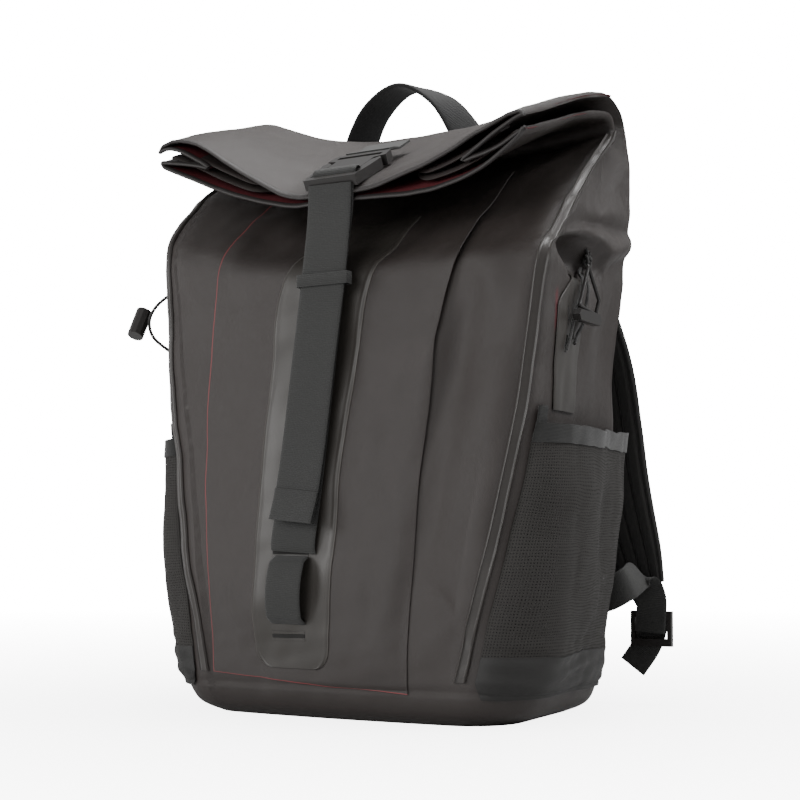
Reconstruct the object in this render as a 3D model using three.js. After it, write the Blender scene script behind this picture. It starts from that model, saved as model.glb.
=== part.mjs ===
// Roll-top cycling backpack, millimetres, +Z up, front towards -Y.
// The origin is the middle of the flat underside that the pack stands on.
import * as THREE from "three";

// Driving dimensions of the pack body
const bodyWidth = 324;
const bodyDepth = 190;
const bodyHeight = 477;
const clothWall = 1.2;
const seamGap = 0.3;
const frontCrown = 4;
const flatMiddle = 0.17;
const mouthFrom = 0.25;

// Layers on the body
const layerGap = 0.45;
const overlayThickness = 1.2;
const patchThickness = 1.2;
const flangeWidth = 9;
const flangeThickness = 1.4;

// Webbing, buckle and straps
const closureWidth = 38;
const webbingThickness = 1.6;
const keeperHeight = 9;
const lightLoopWidth = 30;
const lightLoopHeight = 48;
const lightLoopBulge = 8;
const strapBesideTail = 0.4;
const tailShift = 1.5;
const buckleWidth = 50;
const buckleLength = 58;
const buckleThickness = 8;
const buckleClearance = 0.4;
const buckleArmWidth = 8;
const buckleSlotDepth = 5;
const buckleRise = 3.4;
const handleWidth = 28;
const handleThickness = 4;
const handleSteps = 20;
const lowerWebbingWidth = 25;
const ladderLockWidth = 34;
const ladderLockLength = 28;
const ladderLockThickness = 5;
const ladderSlotDepth = 6;
const webbingPastLock = 1.3;

// Pockets, side fittings and cords
const pocketWall = 1.2;
const pocketBulge = 24;
const bindingThickness = 1.6;
const bindingOff = 0.7;
const sidePatchThickness = 1.2;
const sideCordDiameter = 2.6;
const cordLockDiameter = 13;
const cordLockLength = 24;
const cordLockTilt = 0.5;
const knotRadius = 3.2;
const knotCordRadius = 1.25;
const toggleLength = 34;
const toggleHeight = 8;
const togglePoint = 3;
const toggleThickness = 6;
const toggleSeat = 1.4;
const cordLockSeat = 1.5;
const anchorTabThickness = 2;
const backPadThickness = 9;

// Rows of the body shell, from the base up, back to the ridge and forward again to the mouth.
// Depths are shares of bodyDepth from its middle, heights of bodyHeight, half widths of bodyWidth,
// corner rounding of bodyDepth, side tucks of bodyWidth, and lifts of the ends of bodyHeight.
const SECTION_COLUMNS = [
  "frontDepth", "frontHeight", "backDepth", "backHeight", "frontHalf", "backHalf",
  "rounding", "tuck", "leftLift", "rightLift", "leftPower", "rightPower",
];

const SECTIONS = [
  [-0.463, 0.000, 0.379, 0.000, 0.389, 0.376, 0.210, 0.000, 0.000, 0.000, 2.0, 2.0],
  [-0.526, 0.019, 0.442, 0.019, 0.439, 0.427, 0.242, 0.000, 0.000, 0.000, 2.0, 2.0],
  [-0.558, 0.067, 0.474, 0.067, 0.462, 0.446, 0.263, 0.000, 0.000, 0.000, 2.0, 2.0],
  [-0.563, 0.156, 0.484, 0.156, 0.468, 0.452, 0.253, 0.000, 0.000, 0.000, 2.0, 2.0],
  [-0.553, 0.260, 0.489, 0.260, 0.476, 0.455, 0.221, 0.000, 0.000, 0.000, 2.0, 2.0],
  [-0.532, 0.371, 0.489, 0.371, 0.487, 0.462, 0.189, 0.000, 0.000, 0.000, 2.0, 2.0],
  [-0.511, 0.469, 0.489, 0.479, 0.496, 0.468, 0.158, 0.000, 0.000, 0.000, 2.0, 2.0],
  [-0.489, 0.567, 0.495, 0.604, 0.505, 0.478, 0.126, 0.000, 0.000, 0.000, 2.0, 2.0],
  [-0.474, 0.642, 0.500, 0.698, 0.514, 0.490, 0.105, 0.000, 0.000, 0.000, 2.0, 2.0],
  [-0.453, 0.690, 0.511, 0.754, 0.520, 0.497, 0.084, 0.000, 0.000, 0.000, 2.0, 2.0],
  [-0.347, 0.727, 0.511, 0.802, 0.512, 0.497, 0.074, 0.006, 0.000, 0.000, 2.0, 2.0],
  [-0.179, 0.780, 0.505, 0.850, 0.500, 0.490, 0.063, 0.014, 0.000, 0.000, 2.0, 2.0],
  [0.047, 0.848, 0.495, 0.896, 0.488, 0.486, 0.053, 0.025, 0.006, 0.004, 3.0, 2.0],
  [0.242, 0.896, 0.474, 0.933, 0.480, 0.482, 0.042, 0.038, 0.014, 0.008, 3.0, 1.5],
  [0.326, 0.912, 0.432, 0.960, 0.476, 0.480, 0.034, 0.070, 0.040, 0.018, 3.0, 1.2],
  [0.310, 0.924, 0.315, 0.968, 0.476, 0.480, 0.026, 0.096, 0.062, 0.026, 3.0, 1.2],
  [0.222, 0.920, 0.190, 0.959, 0.476, 0.480, 0.024, 0.121, 0.065, 0.028, 2.8, 1.6],
  [0.000, 0.884, -0.021, 0.919, 0.476, 0.480, 0.022, 0.134, 0.075, 0.042, 2.4, 2.2],
  [-0.263, 0.838, -0.290, 0.871, 0.478, 0.481, 0.021, 0.140, 0.088, 0.050, 1.8, 2.8],
  [-0.442, 0.804, -0.468, 0.835, 0.480, 0.482, 0.020, 0.143, 0.094, 0.060, 1.5, 3.2],
  [-0.532, 0.781, -0.547, 0.811, 0.482, 0.484, 0.019, 0.143, 0.102, 0.073, 1.3, 3.5],
];
// The left shoulder stands fuller than the right one: how far the left end of the front of a row
// is pushed forward, as a share of bodyDepth, and up, as a share of bodyHeight.
const LEFT_SHOULDER = [
  [7, 0.000, 0.000],
  [8, 0.000, 0.030],
  [9, 0.000, 0.070],
  [10, 0.040, 0.078],
  [11, 0.084, 0.072],
  [12, 0.130, 0.055],
  [13, 0.080, 0.030],
  [14, 0.000, 0.000],
];

// The mouth opens towards its ends: how far the upper layer of the roll rises over the lower one
// beside the left and the right end, as shares of bodyHeight.
const MOUTH_RISE = [
  [14, 0.000, 0.000],
  [16, 0.012, 0.008],
  [18, 0.028, 0.022],
  [20, 0.036, 0.030],
];
const firstRow = 0;
const baseRow = 2;
const ridgeRow = 13;
const lipRow = SECTIONS.length - 1;

// Dents and swells of the side panels: middle as a row and a share of the way from front to back,
// reach in the same units, and depth inwards as a share of bodyWidth.
const SIDE_DENTS = [
  { row: 8.6, along: 0.36, rowReach: 0.9, alongReach: 0.22, depth: 0.046 },
  { row: 10.3, along: 0.62, rowReach: 0.8, alongReach: 0.30, depth: -0.012 },
  { row: 7.0, along: 0.86, rowReach: 1.2, alongReach: 0.16, depth: 0.030 },
  { row: 4.4, along: 0.52, rowReach: 1.9, alongReach: 0.28, depth: 0.020 },
];

// Dents of the front: middle as a row and a share of the half width, depth as a share of bodyDepth.
const FRONT_DENTS = [
  { row: 5.5, across: 0.74, rowReach: 2.6, acrossReach: 0.12, depth: 0.026 },
  { row: 3.0, across: 0.62, rowReach: 1.2, acrossReach: 0.10, depth: 0.016 },
  { row: 10.6, across: 0.10, rowReach: 1.0, acrossReach: 0.45, depth: -0.022 },
  { row: 8.6, across: -0.80, rowReach: 1.2, acrossReach: 0.16, depth: 0.014 },
];

// Points of one ring: along the front or back, round a corner, and along a side
const frontSteps = 16;
const cornerSteps = 4;
const sideSteps = 8;

const finishes = {
  shell: new THREE.MeshStandardMaterial({ color: 0x4b4643, roughness: 0.62, metalness: 0 }),
  overlay: new THREE.MeshStandardMaterial({ color: 0x504b48, roughness: 0.62, metalness: 0 }),
  patch: new THREE.MeshStandardMaterial({ color: 0x5a5551, roughness: 0.55, metalness: 0 }),
  webbing: new THREE.MeshStandardMaterial({ color: 0x3e3e3a, roughness: 0.85, metalness: 0 }),
  plastic: new THREE.MeshStandardMaterial({ color: 0x413d3a, roughness: 0.45, metalness: 0 }),
  netting: new THREE.MeshStandardMaterial({ color: 0x2b2927, roughness: 0.9, metalness: 0 }),
  padding: new THREE.MeshStandardMaterial({ color: 0x201f1d, roughness: 0.95, metalness: 0 }),
  cord: new THREE.MeshStandardMaterial({ color: 0x2e2c2a, roughness: 0.8, metalness: 0 }),
};

const pack = new THREE.Group();

function lerp(a, b, share) {
  return a + (b - a) * share;
}

function point(x, y, z) {
  return new THREE.Vector3(x, y, z);
}

// Interpolates the columns of a short table whose rows are sorted by their first column.
function fromTable(table, key) {
  const place = table.findIndex((row) => row[0] >= key);
  if (place <= 0) return table[place === 0 ? 0 : table.length - 1].slice(1);
  const [low, high] = [table[place - 1], table[place]];
  const share = (key - low[0]) / (high[0] - low[0]);
  return low.slice(1).map((value, column) => lerp(value, high[column + 1], share));
}

// Closed meshes from triangles

function outwardGeometry(points, triangles) {
  let volume = 0;
  for (const [a, b, c] of triangles) {
    volume += points[a].dot(points[b].clone().cross(points[c]));
  }
  const order = volume < 0 ? [0, 2, 1] : [0, 1, 2];
  const geometry = new THREE.BufferGeometry();
  geometry.setAttribute("position", new THREE.Float32BufferAttribute(points.flatMap((p) => p.toArray()), 3));
  geometry.setIndex(triangles.flatMap((triangle) => order.map((corner) => triangle[corner])));
  return geometry;
}

function addMesh(name, geometry, finish, parent = pack) {
  const mesh = new THREE.Mesh(geometry, finish);
  mesh.name = name;
  parent.add(mesh);
  return mesh;
}

// Joins the rings to one closed body, with a fan over each end.
function loft(rings) {
  const size = rings[0].length;
  const points = rings.flat();
  const triangles = [];
  for (let i = 0; i + 1 < rings.length; i += 1) {
    for (let j = 0; j < size; j += 1) {
      const next = (j + 1) % size;
      const [a, b, c, d] = [i * size + j, i * size + next, (i + 1) * size + next, (i + 1) * size + j];
      triangles.push([a, b, c], [a, c, d]);
    }
  }
  for (const [ring, flip] of [[0, true], [rings.length - 1, false]]) {
    const middle = rings[ring].reduce((sum, p) => sum.add(p), point(0, 0, 0)).divideScalar(size);
    const hub = points.push(middle) - 1;
    for (let j = 0; j < size; j += 1) {
      const [a, b] = [ring * size + j, ring * size + ((j + 1) % size)];
      triangles.push(flip ? [hub, b, a] : [hub, a, b]);
    }
  }
  return outwardGeometry(points, triangles);
}

// Joins two equal grids of points, the outer and the inner face of a sheet, to one closed body.
function sheet(outer, inner) {
  const rows = outer.length;
  const columns = outer[0].length;
  const points = [...outer.flat(), ...inner.flat()];
  const half = rows * columns;
  const triangles = [];
  for (let i = 0; i + 1 < rows; i += 1) {
    for (let j = 0; j + 1 < columns; j += 1) {
      const [a, b] = [i * columns + j, i * columns + j + 1];
      const [c, d] = [b + columns, a + columns];
      triangles.push([a, b, c], [a, c, d], [half + a, half + c, half + b], [half + a, half + d, half + c]);
    }
  }
  const edge = [];
  for (let j = 0; j < columns; j += 1) edge.push(j);
  for (let i = 1; i < rows; i += 1) edge.push(i * columns + columns - 1);
  for (let j = columns - 2; j >= 0; j -= 1) edge.push((rows - 1) * columns + j);
  for (let i = rows - 2; i > 0; i -= 1) edge.push(i * columns);
  edge.forEach((a, index) => {
    const b = edge[(index + 1) % edge.length];
    triangles.push([a, half + a, half + b], [a, half + b, b]);
  });
  return outwardGeometry(points, triangles);
}

// The body shell

function sectionRow(index) {
  const row = SECTIONS[index];
  const [forward, rise] = fromTable(LEFT_SHOULDER, index);
  const [leftOpen, rightOpen] = fromTable(MOUTH_RISE, index);
  const named = Object.fromEntries(SECTION_COLUMNS.map((column, place) => [column, row[place]]));
  return { ...named, forward, rise, leftOpen, rightOpen };
}

function bell(distance, reach) {
  return Math.exp(-((distance / reach) ** 2));
}

// How far the ends of a row rise above its middle, at a share of the half width; the stretch under
// the buckle stays level.
function endLift(row, across) {
  const [lift, power] = across < 0 ? [row.leftLift, row.leftPower] : [row.rightLift, row.rightPower];
  return bodyHeight * lift * Math.max((Math.abs(across) - flatMiddle) / (1 - flatMiddle), 0) ** power;
}

// How open the mouth is at a share of the half width: shut at the tips and under the buckle
function mouthOpening(row, across) {
  const wide = Math.abs(across);
  const rise = across < 0 ? row.leftOpen : row.rightOpen;
  return bodyHeight * rise * (1 - wide ** 12) * Math.min(Math.max((wide - mouthFrom) / 0.5, 0), 1);
}

function rowThickness(row) {
  return Math.hypot(
    bodyDepth * (row.backDepth - row.frontDepth), bodyHeight * (row.backHeight - row.frontHeight));
}

// Places a point given in a row's own plane: its x, and its distance from the front edge
function inRow(row, x, distance) {
  const share = distance / rowThickness(row);
  const half = bodyWidth * lerp(row.frontHalf, row.backHalf, Math.min(Math.max(share, 0), 1));
  const across = Math.min(Math.max(x / half, -1), 1);
  const inside = Math.min(Math.max(share, 0), 1);
  const fullness = Math.max(-across, 0) ** 2 * (1 - inside);
  return point(
    x,
    bodyDepth * (lerp(row.frontDepth, row.backDepth, share) - fullness * row.forward),
    bodyHeight * (lerp(row.frontHeight, row.backHeight, share) + fullness * row.rise)
      + endLift(row, across) + inside * mouthOpening(row, across),
  );
}

function frontRelief(index, across) {
  const row = sectionRow(index);
  const crown = frontCrown * (1 - across * across) * Math.min(1, rowThickness(row) / bodyDepth);
  const dents = FRONT_DENTS.map((dent) => dent.depth * bodyDepth
    * bell(index - dent.row, dent.rowReach) * bell(across - dent.across, dent.acrossReach));
  return dents.reduce((sum, depth) => sum + depth, -crown);
}

function sideRelief(index, along) {
  const dents = SIDE_DENTS.map((dent) => dent.depth * bodyWidth
    * bell(index - dent.row, dent.rowReach) * bell(along - dent.along, dent.alongReach));
  const fade = Math.sin(Math.PI * Math.min(Math.max(along, 0), 1));
  return dents.reduce((sum, depth) => sum + depth, 0) * Math.sqrt(fade);
}

// A point of the front at a share of its straight width, from -1 on the left to 1 on the right
function frontPoint(index, across) {
  const row = sectionRow(index);
  const straight = bodyWidth * row.frontHalf - bodyDepth * row.rounding;
  return inRow(row, straight * across, frontRelief(index, across));
}

function backPoint(index, across) {
  const row = sectionRow(index);
  const straight = bodyWidth * row.backHalf - bodyDepth * row.rounding;
  return inRow(row, straight * across, rowThickness(row));
}

// A point of a side at a share of its straight depth; side is 1 on the right and -1 on the left
function sidePoint(index, along, side) {
  const row = sectionRow(index);
  const rounding = bodyDepth * row.rounding;
  const thickness = rowThickness(row);
  const half = bodyWidth * lerp(row.frontHalf, row.backHalf, along);
  const tuck = bodyWidth * row.tuck * (1 - Math.abs(2 * along - 1));
  const distance = lerp(rounding, thickness - rounding, along);
  return inRow(row, side * (half - tuck - sideRelief(index, along)), distance);
}

// A point round a corner; turn runs from 0 at the front or back face to 1 at the side
function cornerPoint(index, turn, side, atBack) {
  const row = sectionRow(index);
  const rounding = bodyDepth * row.rounding;
  const half = bodyWidth * (atBack ? row.backHalf : row.frontHalf);
  const angle = (Math.PI / 2) * turn;
  const x = half - rounding + rounding * Math.sin(angle);
  const inwards = rounding * (1 - Math.cos(angle));
  return inRow(row, side * x, atBack ? rowThickness(row) - inwards : inwards);
}

function bodyRing(index) {
  const ring = [];
  for (let i = 0; i <= frontSteps; i += 1) ring.push(frontPoint(index, (2 * i) / frontSteps - 1));
  for (let i = 1; i < cornerSteps; i += 1) ring.push(cornerPoint(index, i / cornerSteps, 1, false));
  for (let i = 0; i <= sideSteps; i += 1) ring.push(sidePoint(index, i / sideSteps, 1));
  for (let i = cornerSteps - 1; i > 0; i -= 1) ring.push(cornerPoint(index, i / cornerSteps, 1, true));
  for (let i = frontSteps; i >= 0; i -= 1) ring.push(backPoint(index, (2 * i) / frontSteps - 1));
  for (let i = 1; i < cornerSteps; i += 1) ring.push(cornerPoint(index, i / cornerSteps, -1, true));
  for (let i = sideSteps; i >= 0; i -= 1) ring.push(sidePoint(index, i / sideSteps, -1));
  for (let i = cornerSteps - 1; i > 0; i -= 1) ring.push(cornerPoint(index, i / cornerSteps, -1, false));
  return ring;
}

// Moves each point of a ring inwards by the wall, square to the ring and in the row's own plane.
function insetRing(ring, row, wall) {
  const thickness = rowThickness(row);
  const deep = point(
    0, bodyDepth * (row.backDepth - row.frontDepth), bodyHeight * (row.backHeight - row.frontHeight),
  ).divideScalar(thickness);
  return ring.map((here, index) => {
    const before = ring[(index + ring.length - 1) % ring.length];
    const after = ring[(index + 1) % ring.length];
    const into = [before, after].map((other, place) => {
      const step = other.clone().sub(here).multiplyScalar(place === 0 ? -1 : 1);
      return new THREE.Vector2(-step.dot(deep), step.x).normalize();
    });
    const sum = into[0].clone().add(into[1]).normalize();
    const reach = wall / Math.max(sum.dot(into[0]), 0.5);
    return here.clone().add(point(reach * sum.x, 0, 0)).addScaledVector(deep, reach * sum.y);
  });
}

const outerRings = SECTIONS.map((_, index) => bodyRing(index));
const innerRings = outerRings.map((ring, index) => insetRing(ring, sectionRow(index), clothWall));
const ringSize = outerRings[0].length;

// Moves the border points of a grid a little inwards, so that panels that meet keep their seam gap.
function trimmed(grid, wrapped) {
  const towards = (here, there) => here.clone().lerp(there, seamGap / 2 / here.distanceTo(there));
  const rows = grid.map((row) => row.map((p) => p.clone()));
  const last = rows.length - 1;
  for (const [edge, next] of [[0, 1], [last, last - 1]]) {
    rows[edge] = rows[edge].map((p, j) => towards(p, grid[next][j]));
  }
  if (wrapped) return rows;
  const end = rows[0].length - 1;
  return rows.map((row, i) => row.map((p, j) => {
    if (j === 0) return towards(p, grid[i][1]);
    return j === end ? towards(p, grid[i][end - 1]) : p;
  }));
}

// A panel of the body between two rows and two places of the ring
function bodyPanel(fromRow, toRow, fromPlace, toPlace) {
  const cut = (rings) => rings.slice(fromRow, toRow + 1).map((ring) => {
    const row = [];
    for (let place = fromPlace; place <= toPlace; place += 1) row.push(ring[place % ringSize]);
    return row;
  });
  return sheet(trimmed(cut(outerRings), false), trimmed(cut(innerRings), false));
}

// Joins rings all round to a wall; the edge round its lower end is left open for a floor.
function ringWall(outer, inner, lowerRim) {
  const points = [...outer.flat(), ...inner.flat()];
  const half = outer.length * ringSize;
  const triangles = [];
  const rim = (outer.length - 1) * ringSize;
  for (let j = 0; j < ringSize; j += 1) {
    const next = (j + 1) % ringSize;
    for (let i = 0; i + 1 < outer.length; i += 1) {
      const [a, b] = [i * ringSize + j, i * ringSize + next];
      const [c, d] = [b + ringSize, a + ringSize];
      triangles.push([a, b, c], [a, c, d], [half + a, half + c, half + b], [half + a, half + d, half + c]);
    }
    triangles.push([rim + j, rim + next, half + rim + next], [rim + j, half + rim + next, half + rim + j]);
    if (lowerRim) triangles.push([j, half + next, next], [j, half + j, half + next]);
  }
  return [points, triangles];
}

// The base: a shallow dish up to the base row
function bodyBase() {
  const [outer, inner] = [outerRings, innerRings].map((rings) => {
    const rows = rings.slice(firstRow, baseRow + 1);
    return [rows[0].map((p) => p.clone()), ...trimmed(rows, true).slice(1)];
  });
  inner[0].forEach((p) => p.setZ(clothWall));
  const [points, triangles] = ringWall(outer, inner, false);
  const half = outer.length * ringSize;
  const underside = points.push(point(0, 0, 0)) - 1;
  const floor = points.push(point(0, 0, clothWall)) - 1;
  for (let j = 0; j < ringSize; j += 1) {
    const next = (j + 1) % ringSize;
    triangles.push([underside, next, j], [floor, half + j, half + next]);
  }
  return outwardGeometry(points, triangles);
}

// The roll: the flattened tube from the ridge forward to the lip
function bodyRoll() {
  const [outer, inner] = [outerRings, innerRings].map((rings) => trimmed(rings.slice(ridgeRow), true));
  return outwardGeometry(...ringWall(outer, inner, true));
}

// Places of the ring where the front, the right flank, the back and the left flank begin
const flankSteps = sideSteps + 2 * cornerSteps;
const PANEL_PLACES = [
  ["front", 0, frontSteps],
  ["right", frontSteps, frontSteps + flankSteps],
  ["back", frontSteps + flankSteps, 2 * frontSteps + flankSteps],
  ["left", 2 * frontSteps + flankSteps, 2 * (frontSteps + flankSteps)],
];

function bodyPanels() {
  addMesh("body_base", bodyBase(), finishes.shell);
  addMesh("body_roll", bodyRoll(), finishes.shell);
  for (const [name, from, to] of PANEL_PLACES) {
    addMesh(`body_${name}`, bodyPanel(baseRow, ridgeRow, from, to), finishes.shell);
  }
}

// Sheets that lie on the body

// The same point of the body between two rows, on the straight line from one row to the next
function betweenRows(pointOf, index) {
  const low = Math.min(Math.floor(index), lipRow - 1);
  return pointOf(low).lerp(pointOf(low + 1), index - low);
}

// Lays a sheet on the body: pointAt(row, share) is the surface, span(row) its first and last share.
function layOn(pointAt, rows, span, columns, lift, thickness, bulge = () => 0, facing = 1) {
  const rowStep = 0.25;
  const shareStep = 0.01;
  const at = (row, share) => betweenRows((index) => pointAt(index, share), row);
  const [outer, inner] = [[], []];
  for (const row of rows) {
    const [from, to] = span(row);
    const outerRow = [];
    const innerRow = [];
    for (let j = 0; j <= columns; j += 1) {
      const share = lerp(from, to, j / columns);
      const here = at(row, share);
      const up = at(row + rowStep, share).sub(at(Math.max(row - rowStep, 0), share));
      const along = at(row, share + shareStep).sub(at(row, share - shareStep));
      const out = along.cross(up).normalize().multiplyScalar(facing);
      const raised = lift + bulge(row, j / columns);
      innerRow.push(here.clone().addScaledVector(out, raised));
      outerRow.push(here.clone().addScaledVector(out, raised + thickness));
    }
    outer.push(outerRow);
    inner.push(innerRow);
  }
  return sheet(outer, inner);
}

function rowsBetween(first, last, step) {
  const rows = [];
  for (let row = first; row < last - step / 2; row += step) rows.push(row);
  rows.push(last);
  return rows;
}

// Columns: row of the body, left edge and right edge as shares of the front's straight width
const OVERLAY_EDGES = [
  [2, -0.99, 0.68],
  [3, -0.98, 0.66],
  [5, -0.92, 0.62],
  [7, -0.80, 0.60],
  [9, -0.72, 0.66],
  [12, -0.70, 0.66],
];
const PATCH_EDGES = [
  [2.15, -0.44, -0.02],
  [2.4, -0.58, 0.06],
  [3, -0.58, 0.07],
  [5, -0.48, 0.10],
  [7, -0.37, 0.17],
  [8, -0.34, 0.19],
  [9, -0.28, 0.22],
  [10, -0.25, 0.26],
  [11, -0.24, 0.28],
];

const overlayLift = layerGap;
const patchLift = overlayLift + overlayThickness + layerGap;
const strapLift = patchLift + patchThickness + layerGap;

function frontLayers() {
  addMesh("front_overlay", layOn(
    frontPoint, rowsBetween(2, 12, 1), (row) => fromTable(OVERLAY_EDGES, row), 12,
    overlayLift, overlayThickness), finishes.overlay);
  addMesh("lock_patch", layOn(
    frontPoint, [2.15, 2.4, ...rowsBetween(3, 11, 1)], (row) => fromTable(PATCH_EDGES, row), 6,
    patchLift, patchThickness), finishes.patch);
}

// Raised welded flanges down both front corners, as shares of the way round the corner
const FLANGE_TURNS = [
  [2, 0.10],
  [4, 0.30],
  [6, 0.50],
  [8, 0.62],
  [12, 0.62],
];

function cornerFlange(side) {
  const rows = rowsBetween(2, 12, 1);
  const outer = [];
  const inner = [];
  for (const row of rows) {
    const [turn] = fromTable(FLANGE_TURNS, row);
    const data = sectionRow(row);
    const halfTurn = flangeWidth / (Math.PI * bodyDepth * data.rounding);
    const face = [turn - halfTurn, turn, turn + halfTurn].map((place) => {
      const clamped = Math.min(Math.max(place, 0), 1);
      const here = cornerPoint(row, clamped, side, false);
      const angle = (Math.PI / 2) * clamped;
      const out = point(side * Math.sin(angle), -Math.cos(angle), 0);
      return [here, out];
    });
    inner.push(face.map(([here, out]) => here.clone().addScaledVector(out, 1.5 * layerGap)));
    outer.push(face.map(([here, out]) => here.clone().addScaledVector(out, 1.5 * layerGap + flangeThickness)));
  }
  return sheet(outer, inner);
}

// Webbing

// A flat band along a path; across is the direction of its width, or one such direction a point
function band(path, across, width, thickness) {
  const acrossAt = (index) => (Array.isArray(across) ? across[index] : across).clone();
  const rings = path.map((here, index) => {
    const before = path[Math.max(index - 1, 0)];
    const after = path[Math.min(index + 1, path.length - 1)];
    const ahead = after.clone().sub(before).normalize();
    const side = acrossAt(index);
    side.addScaledVector(ahead, -side.dot(ahead)).normalize();
    const out = side.clone().cross(ahead).normalize();
    const corner = (a, b) => here.clone()
      .addScaledVector(side, (a * width) / 2).addScaledVector(out, (b * thickness) / 2);
    return [corner(-1, -1), corner(1, -1), corner(1, 1), corner(-1, 1)];
  });
  return loft(rings);
}

const lip = frontPoint(lipRow, 0);
const lipTop = backPoint(lipRow, 0);
const flapBack = backPoint(lipRow - 2, 0);
const flapSlope = Math.atan2(flapBack.z - lipTop.z, flapBack.y - lipTop.y);
const rightward = point(1, 0, 0);

// The closure strap leans: its lower end is to the left of its upper end
const strapFootRow = 4;
const strapFootShare = -0.21;
const strapHeadX = 3;

function strapFoot() {
  return frontPoint(strapFootRow, strapFootShare);
}

// Middle line of the strap: share of the way from the foot to the lip
const STRAP_SHARES = [-0.013, 0.025, 0.3, 0.7, 0.993];

// Free end of the strap, which lies on it: height as a share of bodyHeight, and stand-off
const TAIL_PATH = [
  [0.300, 5.0],
  [0.363, 3.0],
  [0.419, 1.5],
  [0.545, 1.0],
  [0.629, 0.2],
  [0.667, 0.0],
  [0.723, 0.6],
];
const keeperShare = 0.667;

// The strap's middle at a share of the way from its foot to the lip
function strapPoint(share) {
  const foot = strapFoot();
  const footY = foot.y - strapLift - webbingThickness / 2;
  const headY = Math.min(lip.y, lipTop.y) - webbingThickness / 2 - layerGap;
  const way = Math.min(Math.max(share, 0), 1);
  return point(lerp(foot.x, strapHeadX, way), lerp(footY, headY, way), lerp(foot.z, lip.z, share));
}

function closureStrap() {
  const top = strapPoint(1).setZ(lipTop.z + 1);
  const path = [...STRAP_SHARES.map(strapPoint), top];
  addMesh("closure_strap", band(path, rightward, closureWidth, webbingThickness), finishes.webbing);
  const tailGap = webbingThickness + strapBesideTail;
  const tailPoint = (height, off) => {
    const foot = strapFoot();
    const share = (bodyHeight * height - foot.z) / (lip.z - foot.z);
    return strapPoint(share).add(point(tailShift, -tailGap - off, 0));
  };
  const tail = [
    ...TAIL_PATH.map(([height, off]) => tailPoint(height, off)),
    strapPoint(0.993).add(point(0, -tailGap, 0)), top.clone().add(point(0, -tailGap, 0)),
  ];
  addMesh("strap_tail", band(tail, rightward, closureWidth - 1, webbingThickness), finishes.webbing);
  const keeperMiddle = tailPoint(keeperShare, 0).add(point(0, tailGap / 2, 0));
  addMesh("strap_keeper", keeperLoop(keeperMiddle), finishes.webbing);
}

// A flat ring of elastic webbing round both layers of the strap
function keeperLoop(middle) {
  const reach = closureWidth / 2 + tailShift + 1.1;
  const deep = webbingThickness + 1;
  const wall = patchThickness;
  const corners = [[-1, -1], [1, -1], [1, 1], [-1, 1]];
  const ring = (grow, z) => corners.map(([a, b]) => point(
    middle.x + a * (reach + grow), middle.y + b * (deep + grow), z));
  const [low, high] = [middle.z - keeperHeight / 2, middle.z + keeperHeight / 2];
  return closedFrame([ring(wall, low), ring(wall, high), ring(0, high), ring(0, low)]);
}

// Four rings of points joined round and round to one frame with a hole
function closedFrame(rings) {
  const size = rings[0].length;
  const points = rings.flat();
  const triangles = [];
  for (let i = 0; i < rings.length; i += 1) {
    for (let j = 0; j < size; j += 1) {
      const [down, next] = [(i + 1) % rings.length, (j + 1) % size];
      const [a, b, c, d] = [i * size + j, i * size + next, down * size + next, down * size + j];
      triangles.push([a, b, c], [a, c, d]);
    }
  }
  return outwardGeometry(points, triangles);
}

function lightLoop() {
  const foot = strapFoot();
  const top = foot.z - webbingThickness * 4;
  const surfaceY = foot.y - strapLift - webbingThickness * 2;
  const path = [];
  const steps = 8;
  for (let i = 0; i <= steps; i += 1) {
    const share = i / steps;
    const bulge = lightLoopBulge * Math.sqrt(Math.sin(Math.PI * share));
    path.push(point(foot.x - 3 * share - 1, surfaceY - bulge, top - lightLoopHeight * share));
  }
  addMesh("light_loop", band(path, rightward, lightLoopWidth, webbingThickness), finishes.webbing);
}

// Buckle on the lip of the roll, drawn in plan: x across, y along the strap, then tipped to the flap

function extrudedPlan(shape, thickness) {
  return new THREE.ExtrudeGeometry(shape, { depth: thickness, bevelEnabled: false, curveSegments: 4 });
}

function rectangle(shape, left, low, width, tall) {
  shape.moveTo(left, low);
  shape.lineTo(left + width, low);
  shape.lineTo(left + width, low + tall);
  shape.lineTo(left, low + tall);
  shape.closePath();
  return shape;
}

const half = buckleWidth / 2;
const plugBase = buckleLength * 0.34;
const armTip = buckleLength * 0.72;

// The plug: a plate with a slot for the strap and two arms that show beside the socket
function plugPlan() {
  const inner = half - buckleArmWidth;
  const right = [
    [half - 3, 0], [half - 1, plugBase], [half, armTip - 4], [half - 3, armTip], [inner, armTip - 6],
    [inner, plugBase],
  ];
  const left = right.map(([x, y]) => [-x, y]).reverse();
  const plan = new THREE.Shape([...right, ...left].map(([x, y]) => new THREE.Vector2(x, y)));
  plan.holes.push(rectangle(
    new THREE.Path(), -closureWidth / 2 - 1, buckleSlotDepth + 2, closureWidth + 2, buckleSlotDepth));
  return plan;
}

// The socket: a stem between the arms, a wider head, and a slot for the webbing that holds it
function socketPlan() {
  const stem = half - buckleArmWidth - buckleClearance;
  const head = armTip + buckleClearance;
  const right = [[stem, plugBase + buckleClearance], [stem, head], [half, head + 3], [half - 2, buckleLength]];
  const left = right.map(([x, y]) => [-x, y]).reverse();
  const plan = new THREE.Shape([...right, ...left].map(([x, y]) => new THREE.Vector2(x, y)));
  plan.holes.push(rectangle(
    new THREE.Path(), -closureWidth / 2, buckleLength - 2 * buckleSlotDepth, closureWidth, buckleSlotDepth));
  return plan;
}

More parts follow.
